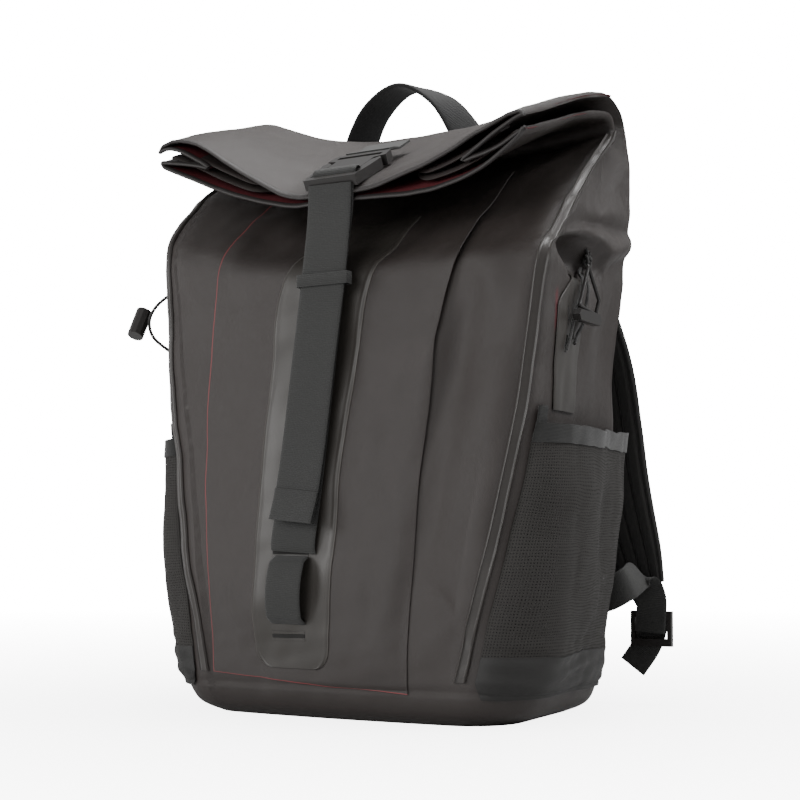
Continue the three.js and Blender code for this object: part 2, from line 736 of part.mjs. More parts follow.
function buckle() {
  const plate = new THREE.Group();
  plate.position.set(strapHeadX, lipTop.y + 1, lipTop.z + buckleRise);
  plate.rotation.x = flapSlope;
  addMesh("buckle_male", extrudedPlan(plugPlan(), buckleThickness), finishes.plastic, plate);
  addMesh("buckle_female", extrudedPlan(socketPlan(), buckleThickness), finishes.plastic, plate);
  pack.add(plate);
  anchorTab(plate);
}

// Webbing that holds the buckle: out of its slot, down to the flap and back along it
function anchorTab(plate) {
  const start = buckleLength + 0.6;
  const path = [
    point(0, start, buckleThickness / 2), point(0, start + 8, 2.4), point(0, start + 16, -0.4),
    point(0, start + 34, -0.4),
  ];
  addMesh("buckle_anchor", band(path, rightward, closureWidth, webbingThickness), finishes.webbing, plate);
}

// Carrying handle behind the roll

// Columns: x as a share of bodyWidth, lean to the front, height as a share of bodyHeight
const HANDLE_PATH = [
  [-0.327, 0, 0.885],
  [-0.315, 1, 0.935],
  [-0.287, 6, 0.990],
  [-0.225, 12, 1.048],
  [-0.130, 16, 1.078],
  [-0.034, 12, 1.050],
  [0.025, 6, 0.996],
  [0.068, 1, 0.935],
  [0.093, 0, 0.885],
];
const handleRootGap = 2.0;

function topHandle() {
  const rootY = bodyDepth / 2 + handleThickness / 2 + handleRootGap;
  const path = new THREE.CatmullRomCurve3(HANDLE_PATH.map(
    ([x, lean, height]) => point(bodyWidth * x, rootY - lean, bodyHeight * height)));
  const corners = [[-1, -0.5], [-0.7, -1], [0.7, -1], [1, -0.5], [1, 0.5], [0.7, 1], [-0.7, 1], [-1, 0.5]];
  const rings = path.getPoints(handleSteps).map((here, index) => {
    const ahead = path.getTangent(index / handleSteps);
    const side = point(0, 1, 0).addScaledVector(ahead, -ahead.y).normalize();
    const out = side.clone().cross(ahead).normalize();
    const rising = Math.min(1, (2 * Math.min(index, handleSteps - index)) / handleSteps);
    const twist = (Math.PI / 2) * (1 - rising) * (index * 2 < handleSteps ? 1 : -1);
    const wide = side.clone().multiplyScalar(Math.cos(twist)).addScaledVector(out, Math.sin(twist));
    const flat = out.clone().multiplyScalar(Math.cos(twist)).addScaledVector(side, -Math.sin(twist));
    return corners.map(([a, b]) => here.clone()
      .addScaledVector(wide, (a * handleWidth) / 2).addScaledVector(flat, (b * handleThickness) / 2));
  });
  addMesh("top_handle", loft(rings), finishes.webbing);
}

// Back panel and shoulder straps

function backPanel() {
  addMesh("back_panel", layOn(
    (index, share) => backPoint(index, -share), rowsBetween(2, 10, 1), () => [-0.86, 0.86], 10,
    layerGap, backPadThickness), finishes.padding);
}

// Columns: height as a share of bodyHeight, x as a share of bodyWidth, stand-off from the back,
// width and thickness of the padding
const SHOULDER_PATH = [
  [0.862, 0.150, 8.8, 58, 6],
  [0.830, 0.180, 17, 62, 8],
  [0.760, 0.235, 27, 66, 9],
  [0.660, 0.290, 34, 68, 9],
  [0.560, 0.330, 38, 70, 9],
  [0.460, 0.355, 39, 68, 9],
  [0.380, 0.375, 37, 66, 9],
  [0.310, 0.405, 34, 60, 9],
  [0.240, 0.440, 31, 52, 8],
  [0.190, 0.468, 29, 40, 7],
];

const PADDING_CORNERS = [
  [-1, -0.3], [-0.9, -1], [0, -1], [0.9, -1], [1, -0.3], [1, 0.3], [0.9, 1], [0, 1], [-0.9, 1], [-1, 0.3],
];

function shoulderRow(place, side) {
  const [height, x, off, width, thickness] = SHOULDER_PATH[place];
  const middle = point(side * bodyWidth * x, bodyDepth * 0.5 + off, bodyHeight * height);
  return { middle, width, thickness };
}

function shoulderStrap(side) {
  const rows = SHOULDER_PATH.map((_, place) => shoulderRow(place, side));
  const rings = rows.map(({ middle, width, thickness }, place) => {
    const before = rows[Math.max(place - 1, 0)].middle;
    const after = rows[Math.min(place + 1, rows.length - 1)].middle;
    const ahead = after.clone().sub(before).normalize();
    const across = point(1, 0, 0).addScaledVector(ahead, -ahead.x).normalize();
    const out = across.clone().cross(ahead).normalize();
    return PADDING_CORNERS.map(([a, b]) => middle.clone()
      .addScaledVector(across, (a * width) / 2).addScaledVector(out, (b * thickness) / 2));
  });
  return loft(rings);
}

// Lower webbing: a loop under the padding holds the ladder lock, and a band runs from the base
// corner up, round and down to the lock, from which its free tail hangs.

// Paths from the end of the padding, as sideways, back and up
const LOCK_HOLD_PATH = [[8, 0, -4.6], [8, 0, -16.2]];
const LOCK_TAIL_PATH = [[8, 0, -20], [7, 0, -32], [1, 1, -46], [-10, 0, -62]];
const ARC_PATH = [[4, -8, 12], [10, -3, -4], [9, 0, -20], [8, 0, -34]];

// From the base corner, as sideways, back and up, and the width's direction all along the arc
const ARC_ROOT_PATH = [[-6, 6, 10], [6, 0, 13], [20, 6, 22]];
const ARC_TURNS = [
  [0, 0, 1], [0, 0, 1], [-0.3, 0, 0.95], [-0.7, 0.3, 0.65], [-1, 0, 0], [-1, 0, 0], [-1, 0, 0],
];
const anchorRows = [2.78, 3, 3.3];
const anchorWays = [2.36, 2.76];

function ladderLock(side, name, end) {
  const plate = new THREE.Shape();
  rectangle(plate, -ladderLockWidth / 2, 0, ladderLockWidth, ladderLockLength);
  for (const low of [ladderSlotDepth - 1, ladderLockLength - 2 * ladderSlotDepth]) {
    plate.holes.push(rectangle(
      new THREE.Path(), -lowerWebbingWidth / 2 - 1, low, lowerWebbingWidth + 2, ladderSlotDepth));
  }
  const lock = addMesh(`ladder_lock_${name}`, extrudedPlan(plate, ladderLockThickness), finishes.plastic);
  lock.position.copy(end).add(point(side * 8, -ladderLockThickness / 2, -17));
  lock.rotation.x = -Math.PI / 2;
}

function lowerWebbing(side, name) {
  const end = shoulderRow(SHOULDER_PATH.length - 1, side).middle;
  const from = (start, [x, y, z], shift = 0) => start.clone().add(point(side * x, y + shift, z));
  const hold = LOCK_HOLD_PATH.map((place) => from(end, place));
  addMesh(`strap_end_${name}`, band(hold, rightward, lowerWebbingWidth, webbingThickness), finishes.webbing);
  ladderLock(side, name, end);

  const surface = (index, way) => flankPoint(index, way, side);
  addMesh(`anchor_tab_${name}`, layOn(
    surface, anchorRows, () => anchorWays, 3, layerGap, anchorTabThickness, () => 0, side),
  finishes.shell);

  const rise = layerGap + anchorTabThickness + 0.8 + webbingThickness / 2;
  const anchor = surface(anchorRows[1], 2.5).addScaledVector(point(side, 1, 0).normalize(), rise);
  const besideLock = ladderLockThickness / 2 + webbingPastLock;
  const web = [
    ...ARC_ROOT_PATH.map((place) => from(anchor, place)),
    ...ARC_PATH.map((place) => from(end, place, -besideLock)),
  ];
  const acrossWeb = ARC_TURNS.map(([x, y, z]) => point(side * x, y, z));
  addMesh(`lower_webbing_${name}`, band(web, acrossWeb, lowerWebbingWidth, webbingThickness), finishes.webbing);
  const tail = LOCK_TAIL_PATH.map((place) => from(end, place, besideLock));
  addMesh(`webbing_tail_${name}`, band(tail, rightward, lowerWebbingWidth - 1, webbingThickness),
    finishes.webbing);
}

// Flanks: the way round the pack from the front face (0) round the front corner (to 1), along the
// side (to 2) and round the back corner (to 3)

function flankPoint(index, way, side) {
  if (way < 1) return cornerPoint(index, way, side, false);
  if (way > 2) return cornerPoint(index, 3 - way, side, true);
  return sidePoint(index, way - 1, side);
}

// Columns: row of the body, and how full the pocket stands there
const POCKET_FULLNESS = [
  [1, 0.00],
  [1.5, 0.14],
  [2, 0.42],
  [3, 0.78],
  [4, 1.00],
  [5.7, 0.92],
];
const pocketRows = [1, 1.5, 2, 3, 4, 5, 5.7];
const pocketWays = [0.66, 2.25];
const pocketColumns = 14;
const bindingRows = [5.35, 5.7];
const sidePatchRows = [6.4, 6.7, 7, 7.25, 7.5, 7.75, 8];
const sidePatchWays = [1, 1.375];

function pocketSwell(row, share) {
  const [fullness] = fromTable(POCKET_FULLNESS, row);
  return pocketBulge * fullness * Math.sin(Math.PI * share) ** 0.8;
}

function sidePocket(side, name) {
  const surface = (index, way) => flankPoint(index, way, side);
  addMesh(`net_pocket_${name}`, layOn(
    surface, pocketRows, () => pocketWays, pocketColumns, layerGap, pocketWall, pocketSwell, side),
  finishes.netting);
  addMesh(`pocket_binding_${name}`, layOn(
    surface, bindingRows, () => pocketWays, pocketColumns, layerGap + pocketWall + bindingOff, bindingThickness,
    pocketSwell, side), finishes.webbing);
}

function sidePatch(side, name) {
  const surface = (index, way) => flankPoint(index, way, side);
  addMesh(`side_patch_${name}`, layOn(
    surface, sidePatchRows, () => sidePatchWays, 3, 2.4 * layerGap, sidePatchThickness, () => 0, side),
  finishes.patch);
}

// Elastic cords of the side straps, held by their slots, with points chosen on the flank:
// row, way round the flank, and distance off the surface
const RIGHT_FRONT_CORD = [
  [6.75, 1.10, 3.9], [6.95, 1.13, 4.2], [7.25, 1.18, 4.4], [7.6, 1.28, 4.4], [7.95, 1.40, 4.4],
  [8.25, 1.50, 4.2], [8.40, 1.535, 4.2],
];
const RIGHT_REAR_CORD = [
  [6.85, 1.22, 3.9], [7.0, 1.27, 4.2], [7.2, 1.36, 4.4], [7.45, 1.40, 4.4], [7.8, 1.46, 4.4],
  [8.1, 1.53, 4.2], [8.36, 1.585, 4.2],
];
const LEFT_CORD = [
  [8.15, 1.03, 2.6], [8.1, 1.00, 8.0], [7.9, 0.90, 17.0], [7.65, 0.84, 21.0], [7.4, 0.86, 18.0],
  [7.2, 0.94, 9.0], [7.1, 1.02, 4.2],
];

function flankCord(points, side) {
  const at = (row, way) => betweenRows((index) => flankPoint(index, way, side), row);
  const places = points.map(([row, way, off]) => {
    const along = at(row, way + 0.02).sub(at(row, way - 0.02));
    const up = at(row + 0.2, way).sub(at(row - 0.2, way));
    const out = along.cross(up).normalize().multiplyScalar(side);
    return at(row, way).addScaledVector(out, off);
  });
  return new THREE.CatmullRomCurve3(places);
}

function cordTube(curve, steps) {
  const section = new THREE.Shape();
  const sides = 8;
  for (let i = 0; i < sides; i += 1) {
    const angle = (2 * Math.PI * i) / sides;
    const [x, y] = [Math.cos(angle), Math.sin(angle)].map((value) => (value * sideCordDiameter) / 2);
    if (i === 0) section.moveTo(x, y);
    else section.lineTo(x, y);
  }
  return new THREE.ExtrudeGeometry(section, { steps, extrudePath: curve, bevelEnabled: false });
}

function sideCords() {
  const front = flankCord(RIGHT_FRONT_CORD, 1);
  const rear = flankCord(RIGHT_REAR_CORD, 1);
  addMesh("side_cord_right_front", cordTube(front, 16), finishes.cord);
  addMesh("side_cord_right_rear", cordTube(rear, 16), finishes.cord);
  const left = flankCord(LEFT_CORD, -1);
  addMesh("side_cord_left", cordTube(left, 24), finishes.cord);

  const knot = addMesh("cord_knot_right", new THREE.TorusKnotGeometry(knotRadius, knotCordRadius, 30, 6),
    finishes.cord);
  const top = front.getPoint(1).lerp(rear.getPoint(1), 0.5);
  knot.position.copy(top).add(point(knotCordRadius + 0.6, 2, 2 * knotRadius));

  const toggle = addMesh("cord_toggle_right", extrudedPlan(togglePlan(), toggleThickness), finishes.plastic);
  const middle = front.getPoint(0.35).lerp(rear.getPoint(0.4), 0.5);
  toggle.position.copy(middle).add(point(sideCordDiameter + toggleSeat, 0, 0));
  toggle.setRotationFromMatrix(new THREE.Matrix4().makeBasis(point(0, 1, 0), point(0, 0, 1), point(1, 0, 0)));

  const barrel = new THREE.CylinderGeometry(cordLockDiameter / 2, cordLockDiameter / 2, cordLockLength, 10);
  const lock = addMesh("cord_lock_left", barrel, finishes.plastic);
  lock.position.copy(left.getPoint(0.5)).add(point(-cordLockDiameter / 2 - cordLockSeat, -2, 0));
  lock.rotation.x = Math.PI / 2 - cordLockTilt;
}

// A flat hexagonal toggle
function togglePlan() {
  const [long, high] = [toggleLength / 2, toggleHeight / 2];
  const right = [[long, -high], [long + togglePoint, 0], [long, high]];
  const left = right.map(([x, y]) => [-x, y]).reverse();
  return new THREE.Shape([...right, ...left].map(([x, y]) => new THREE.Vector2(x, y)));
}

frontLayers();
bodyPanels();
for (const [side, name] of [[1, "right"], [-1, "left"]]) {
  addMesh(`corner_flange_${name}`, cornerFlange(side), finishes.shell);
  addMesh(`shoulder_strap_${name}`, shoulderStrap(side), finishes.padding);
  lowerWebbing(side, name);
  sidePocket(side, name);
  sidePatch(side, name);
}
closureStrap();
lightLoop();
buckle();
topHandle();
backPanel();
sideCords();

export default pack;
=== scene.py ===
"""Dresses the roll-top cycling backpack on its frame: cloth, webbing, plastics, light and camera."""
from __future__ import annotations

import logging
import math
from dataclasses import dataclass, field, replace
from enum import Enum
from typing import Callable, Sequence

import bpy
import numpy as np
from mathutils import Matrix, Vector


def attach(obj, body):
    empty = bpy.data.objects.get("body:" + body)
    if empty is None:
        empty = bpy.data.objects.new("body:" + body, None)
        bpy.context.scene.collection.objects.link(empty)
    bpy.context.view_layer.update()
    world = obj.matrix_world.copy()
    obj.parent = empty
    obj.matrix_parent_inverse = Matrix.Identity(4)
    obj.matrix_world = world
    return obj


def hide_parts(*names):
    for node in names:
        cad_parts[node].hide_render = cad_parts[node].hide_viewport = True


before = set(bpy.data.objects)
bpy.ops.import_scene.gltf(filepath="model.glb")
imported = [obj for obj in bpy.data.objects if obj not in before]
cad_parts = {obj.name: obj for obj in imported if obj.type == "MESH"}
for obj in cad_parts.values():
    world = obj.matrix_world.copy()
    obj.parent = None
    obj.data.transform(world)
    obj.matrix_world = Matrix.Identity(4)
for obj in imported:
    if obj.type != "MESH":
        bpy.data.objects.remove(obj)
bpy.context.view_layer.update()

LOG = logging.getLogger("backpack")
MM = 0.001
ROOT = "root"
Array = np.ndarray


def lerp(a: Array | float, b: Array | float, share: Array | float) -> Array | float:
    """Straight interpolation between two values or arrays."""
    return a + (b - a) * share


def unit(vectors: Array) -> Array:
    """Vectors of length one, along the last axis."""
    return vectors / np.maximum(np.linalg.norm(vectors, axis=-1, keepdims=True), 1e-9)


def bell(distance: Array, reach: float) -> Array:
    """A soft bump: 1 at distance 0, falling off over the reach."""
    return np.exp(-((distance / reach) ** 2))


def smooth(low: float, high: float, value: Array) -> Array:
    """Rises from 0 at low to 1 at high with level ends."""
    share = np.clip((value - low) / (high - low), 0, 1)
    return share * share * (3 - 2 * share)


def oblong(turn: Array, powers: tuple[float, float], half: tuple[float, float]) -> tuple[Array, Array]:
    """A rounded oblong: cosine and sine of the turn, raised to powers and kept in sign, times both halves.

    Args:
        turn: Angles round the oblong.
        powers: The lower, the squarer, across and up.
        half: Half of its width and half of its height.

    Returns:
        The two coordinates at each angle.
    """
    across, up = np.cos(turn), np.sin(turn)
    return (np.sign(across) * np.abs(across) ** powers[0] * half[0],
            np.sign(up) * np.abs(up) ** powers[1] * half[1])


def columns_at(table: Array, keys: Array) -> Array:
    """Reads table rows, numbered from 0, at fractional keys by a cubic through the rows.

    Args:
        table: One row a section, one column a quantity.
        keys: Fractional row numbers of any shape.

    Returns:
        An array of the keys' shape with one more axis, the table's columns.
    """
    last = len(table) - 1
    low = np.clip(np.floor(keys).astype(int), 0, last - 1)
    share = (np.clip(keys, 0, last) - low)[..., None]
    before, here = table[np.maximum(low - 1, 0)], table[low]
    after, beyond = table[low + 1], table[np.minimum(low + 2, last)]
    lean = [(after - before) / 2, (beyond - here) / 2]
    cubic, square = share**3, share**2
    return ((2 * cubic - 3 * square + 1) * here + (cubic - 2 * square + share) * lean[0]
            + (3 * square - 2 * cubic) * after + (cubic - square) * lean[1])


def from_table(table: Sequence[Sequence[float]], keys: Array) -> list[Array]:
    """Interpolates the columns of a table whose rows are sorted by their first column."""
    data = np.array(table, dtype=float)
    return [np.interp(keys, data[:, 0], data[:, place]) for place in range(1, data.shape[1])]


def curve_through(points: Array, samples: int) -> Array:
    """Samples a smooth line through the given points, evenly by the points' numbers."""
    return columns_at(np.asarray(points, dtype=float), np.linspace(0, len(points) - 1, samples))


# The net: heights over this are thread; its holes let a fifth of the light through, and their colour is
# darkened to a quarter as painted shade
NET_THREAD = -0.30
NET_HOLE_ALPHA = 0.80
NET_HOLE_SHADE = 0.25


class Weave(Enum):
    """Surface patterns of the cloths, as the real cloth has them."""

    PLAIN = "plain"
    RIBBED = "ribbed"
    KNIT = "knit"
    NET = "net"
    NONE = "none"


@dataclass(frozen=True)
class Finish:
    """One real material: its colour, gloss and pattern in millimetres."""

    name: str
    slot: str
    colour: str
    roughness: float
    weave: Weave = Weave.NONE
    pitch: float = 0.6
    relief: float = 0.08
    mottle: float = 0.10
    sheen: float = 0.0
    accent: str | None = None

    def linear(self, colour: str) -> tuple[float, float, float, float]:
        """Turns an sRGB hex colour into linear red, green, blue and alpha.

        Args:
            colour: Six hex digits.

        Returns:
            Four values from 0 to 1.
        """
        values = [int(colour[i:i + 2], 16) / 255 for i in (0, 2, 4)]
        red, green, blue = (v / 12.92 if v <= 0.04045 else ((v + 0.055) / 1.055) ** 2.4 for v in values)
        return red, green, blue, 1.0

    def make(self) -> bpy.types.Material:
        """Builds the material with a woven relief, slight mottling, an accent colour at marked places and,
        in a net, painted shade in its holes.

        Returns:
            The new material.
        """
        found = bpy.data.materials.get(self.name)
        if found:
            return found
        material = bpy.data.materials.new(self.name)
        material.use_nodes = True
        tree = NodeTree(material.node_tree)
        shader = tree.nodes["Principled BSDF"]
        shader.inputs["Roughness"].default_value = self.roughness
        shader.inputs["Specular IOR Level"].default_value = 0.35
        shader.inputs["Sheen Weight"].default_value = self.sheen
        place = tree.add("ShaderNodeTexCoord").outputs["Object"]
        cloud = tree.add("ShaderNodeTexNoise", {"Scale": 26.0, "Detail": 4.0}, Vector=place).outputs["Fac"]
        low, high = (tuple(min(v * (1 + side * self.mottle), 1) for v in self.linear(self.colour)[:3]) + (1,)
                     for side in (-1, 1))
        tint = tree.add("ShaderNodeMix", {"A": low, "B": high}, data_type="RGBA", Factor=cloud)
        colour = tint.outputs["Result"]
        if self.accent:
            mark = tree.add("ShaderNodeAttribute", attribute_name="accent").outputs["Fac"]
            colour = tree.add("ShaderNodeMix", {"B": self.linear(self.accent)}, data_type="RGBA",
                              A=colour, Factor=mark).outputs["Result"]
        tree.link(colour, shader.inputs["Base Color"])
        if self.weave is not Weave.NONE:
            height = self.pattern(tree)
            bump = tree.add("ShaderNodeBump", {"Strength": 0.6, "Distance": self.relief * MM}, Height=height)
            tree.link(bump.outputs["Normal"], shader.inputs["Normal"])
            if self.weave is Weave.NET:
                thread = tree.maths("GREATER_THAN", height, NET_THREAD)
                tree.link(tree.maths("MAXIMUM", thread, NET_HOLE_ALPHA), shader.inputs["Alpha"])
                # Painted shade: the colour of the net's holes is mixed toward black
                shade = tree.add("ShaderNodeMix", {"A": (0.0, 0.0, 0.0, 1.0)}, data_type="RGBA",
                                 B=colour, Factor=tree.maths("MAXIMUM", thread, NET_HOLE_SHADE))
                tree.link(shade.outputs["Result"], shader.inputs["Base Color"])
        return material

    def pattern(self, tree: "NodeTree") -> bpy.types.NodeSocket:
        """The weave's height: sines of the cloth's own coordinates, with the pitch in millimetres.

        Args:
            tree: The material's tree, which gets the nodes.

        Returns:
            The socket of the height, from -1 to 1 or more.
        """
        cloth = tree.add("ShaderNodeUVMap", uv_map="cloth").outputs["UV"]
        split = tree.add("ShaderNodeSeparateXYZ", Vector=cloth)
        turn = 2 * math.pi / (self.pitch * MM)
        u, v = (tree.maths("SINE", tree.maths("MULTIPLY", split.outputs[axis], turn)) for axis in ("X", "Y"))
        if self.weave is Weave.RIBBED:
            return tree.maths("ADD", v, tree.maths("MULTIPLY", u, 0.25))
        if self.weave is Weave.KNIT:
            return tree.maths("ABSOLUTE", tree.maths("MULTIPLY", u, v))
        if self.weave is Weave.NET:
            return tree.maths("MAXIMUM", u, v)
        return tree.maths("MULTIPLY", u, v)


class NodeTree:
    """A shader tree with one short way to add a node with its settings and links."""

    def __init__(self, tree: bpy.types.NodeTree) -> None:
        """Keeps the tree and its nodes."""
        self.tree = tree
        self.nodes = tree.nodes

    def link(self, source: bpy.types.NodeSocket, target: bpy.types.NodeSocket) -> None:
        """Links an output socket to an input socket."""
        self.tree.links.new(source, target)

    def add(self, kind: str, values: dict | None = None, **others: object) -> bpy.types.Node:
        """Adds a node.

        Args:
            kind: The node's type.
            values: Values of its sockets, by name.
            others: Its properties, and output sockets that are linked to its sockets of the same name.

        Returns:
            The node.
        """
        node = self.nodes.new(kind)
        sockets = {name: value for name, value in others.items() if isinstance(value, bpy.types.NodeSocket)}
        for name, value in others.items():
            if name not in sockets:
                setattr(node, name, value)
        inputs = {}
        for socket in node.inputs:
            if socket.enabled:
                inputs.setdefault(socket.name, socket)
        for name, value in (values or {}).items():
            inputs[name].default_value = value
        for name, socket in sockets.items():
            self.link(socket, inputs[name])
        return node

    def maths(self, operation: str, first: bpy.types.NodeSocket | float,
              second: bpy.types.NodeSocket | float | None = None) -> bpy.types.NodeSocket:
        """Adds a Math node.

        Args:
            operation: What it works out.
            first: A socket or a number.
            second: A second one, where it has two.

        Returns:
            Its output.
        """
        node = self.add("ShaderNodeMath", operation=operation)
        for place, value in enumerate((first, second)):
            if isinstance(value, bpy.types.NodeSocket):
                self.link(value, node.inputs[place])
            elif value is not None:
                node.inputs[place].default_value = value
        return node.outputs["Value"]


# Polyester with a satin TPU coating, warm dark grey; the coating's smooth film gives broad, soft lights
SHELL = Finish("tpu_coated_polyester", "coated_fabric", "2d2826", 0.48, Weave.PLAIN, 0.9, 0.11, 0.09,
               accent="7a2230")
# The same cloth where it is doubled along the lip, where handling has dulled it
FLAP = Finish("tpu_coated_polyester_roll", "coated_fabric", "262322", 0.50, Weave.PLAIN, 0.9, 0.07, 0.05)
# The same cloth as a second sheet on the front, with its cut edge in red
OVERLAY = Finish("tpu_coated_polyester_overlay", "overlay_fabric", "2c2725", 0.48, Weave.PLAIN, 0.9, 0.11,
                 0.08, accent="8a3438")
# Plain TPU film, glossier than the cloth and a little lighter, as it has no weave; its lighter accent colour
# is a painted highlight along its edges
PATCH = Finish("tpu_film_patch", "patch_fabric", "2f2c29", 0.42, Weave.NONE, mottle=0.05, accent="4a4743")
# TPU tape welded over the corner seams: pressed smooth, so it has the sharpest lights
EDGE = Finish("tpu_welded_flange", "coated_fabric", "33302e", 0.38, Weave.NONE, mottle=0.05)
# Close-woven stretch cloth at the foot of the pockets, matt
BOOT = Finish("stretch_polyamide", "netting", "1c1b1a", 0.60, Weave.PLAIN, 0.7, 0.05, 0.06)
# Plain-woven polyester without a coating on its inside, dark red and matt
LINING = Finish("red_polyester_lining", "coated_fabric", "4c161b", 0.70, Weave.PLAIN, 0.7, 0.05)
# Nylon webbing, woven in ribs across its length; the ribs are drawn at 1.3 mm, as finer ones don't show
WEBBING = Finish("nylon_webbing", "webbing", "272726", 0.80, Weave.RIBBED, 1.3, 0.16, 0.06, 0.1)
# Acetal, moulded with a fine grain: dark, with small clear lights on its rounded edges
PLASTIC = Finish("acetal_buckle", "plastic", "211f1e", 0.34, Weave.NONE, mottle=0.03)
# Open knitted net; the holes are drawn at 2.1 mm, about as wide apart as the photograph has them
MESH = Finish("open_polyester_net", "netting", "262422", 0.80, Weave.NET, 2.1, 0.15, 0.08)
# The same webbing in black, for the handle
GRIP = Finish("nylon_webbing_black", "webbing", "0f0f0f", 0.80, Weave.RIBBED, 1.3, 0.16, 0.06, 0.1)
# Elastic tape, woven in fine ribs, for the pocket's binding
HEM = Finish("elastic_binding", "webbing", "171716", 0.80, Weave.RIBBED, 1.0, 0.12, 0.05, 0.2)
# Spacer knit over foam, matt and almost black
FOAM = Finish("eva_foam_under_knit", "padding", "181716", 0.92, Weave.KNIT, 1.6, 0.20, 0.10, 0.15)
# Braided cover of the elastic cords
CORD = Finish("elastic_cord_cover", "cord", "1f1e1d", 0.75, Weave.RIBBED, 0.8, 0.12, 0.05, 0.2)
# The shadow in a slot
DARK = Finish("slot_shadow_cloth", "patch_fabric", "1d1c1b", 0.9, Weave.NONE, mottle=0.03)


@dataclass
class MeshData:
    """Grows a mesh out of grids of points in millimetres."""

    points: list[Array] = field(default_factory=list)
    faces: list[Array] = field(default_factory=list)
    cloth: list[Array] = field(default_factory=list)
    accent: list[Array] = field(default_factory=list)
    slots: list[Array] = field(default_factory=list)

    def grid(self, points: Array, closed: bool = False, flip: bool = False, slot: int = 0,
             accent: Array | None = None) -> None:
        """Adds a grid of points, rows by columns, as quads.

        Args:
            points: Rows by columns by three.
            closed: Joins the last column to the first.
            flip: Turns the faces over.
            slot: Material slot of the faces.
            accent: How much of the accent colour each point has.
        """
        rows, columns = points.shape[:2]
        start = sum(len(block) for block in self.points)
        number = np.arange(rows * columns).reshape(rows, columns) + start
        wide = np.concatenate([number, number[:, :1]], axis=1) if closed else number
        corners = [wide[:-1, :-1], wide[:-1, 1:], wide[1:, 1:], wide[1:, :-1]]
        quads = np.stack(corners, axis=-1).reshape(-1, 4)
        self.points.append(points.reshape(-1, 3))
        self.faces.append(quads[:, ::-1] if flip else quads)
        self.slots.append(np.full(len(quads), slot))
        self.accent.append(np.zeros(rows * columns) if accent is None else accent.reshape(-1))
        u = np.concatenate([[0], np.cumsum(np.linalg.norm(np.diff(points, axis=1), axis=-1).mean(axis=0))])
        v = np.concatenate([[0], np.cumsum(np.linalg.norm(np.diff(points, axis=0), axis=-1).mean(axis=1))])
        self.cloth.append(np.stack(np.broadcast_arrays(u[None, :], v[:, None]), axis=-1).reshape(-1, 2))

    def sheet(self, outer: Array, inner: Array, slot: int = 0, accent: Array | None = None) -> None:
        """Adds the outer and inner face of a sheet and the rim between them.

        Args:
            outer: Grid of points of the outer face.
            inner: Grid of the inner face, of the same shape.
            slot: Material slot of the faces.
            accent: How much of the accent colour each point has.
        """
        self.grid(outer, slot=slot, accent=accent)
        self.grid(inner, flip=True, slot=slot, accent=accent)
        edges = [(outer[0], inner[0], True), (outer[-1], inner[-1], False),
                 (outer[:, 0], inner[:, 0], False), (outer[:, -1], inner[:, -1], True)]
        rims = [0, -1, (slice(None), 0), (slice(None), -1)]
        for (top, under, flip), rim in zip(edges, rims):
            mark = None if accent is None else np.stack([accent[rim]] * 2)
            self.grid(np.stack([top, under]), flip=flip, slot=slot, accent=mark)

    def fan(self, ring: Array, flip: bool = False, slot: int = 0) -> None:
        """Closes a ring of points by rings that shrink to its middle.

        Args:
            ring: Points of the ring.
            flip: Turns the faces over.
            slot: Material slot of the faces.
        """
        middle = ring.mean(axis=0)
        shares = np.linspace(1, 0.02, 5)[:, None, None]
        self.grid(middle + (ring - middle) * shares, closed=True, flip=flip, slot=slot)

    def build(self, name: str, finishes: Sequence[Finish], angle: float = 50) -> bpy.types.Object:
        """Makes the object that rides on the frame's root.

        Args:
            name: Name of the piece.
            finishes: Its materials, by slot.
            angle: Edges sharper than this many degrees stay sharp.

        Returns:
            The object, in metres.
        """
        mesh = bpy.data.meshes.new(name)
        points = np.concatenate(self.points) * MM
        faces = np.concatenate(self.faces)
        mesh.from_pydata(points.tolist(), [], faces.tolist())
        cloth = np.concatenate(self.cloth) * MM
        layer = mesh.uv_layers.new(name="cloth")
        corners = np.empty(len(mesh.loops), dtype=np.int32)
        mesh.loops.foreach_get("vertex_index", corners)
        layer.data.foreach_set("uv", cloth[corners].astype(np.float32).ravel())
        mark = mesh.attributes.new("accent", "FLOAT", "POINT")
        mark.data.foreach_set("value", np.concatenate(self.accent).astype(np.float32))
        mesh.polygons.foreach_set("material_index", np.concatenate(self.slots).astype(np.int32))
        mesh.polygons.foreach_set("use_smooth", np.ones(len(faces), dtype=bool))
        for finish in finishes:
            mesh.materials.append(finish.make())
        mesh.validate()
        mesh.set_sharp_from_angle(angle=math.radians(angle))
        return settle(bpy.data.objects.new(name, mesh))


def settle(piece: bpy.types.Object) -> bpy.types.Object:
    """Links a piece to the scene and lets it ride on the root.

    Args:
        piece: The object.

    Returns:
        The same object.
    """
    if not piece.users_collection:
        bpy.context.scene.collection.objects.link(piece)
    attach(piece, ROOT)
    return piece


class Face(Enum):
    """The faces of the pack that folds are drawn on, with the axis that runs along them."""

    FRONT = 0
    RIGHT = 1
    LEFT = -1


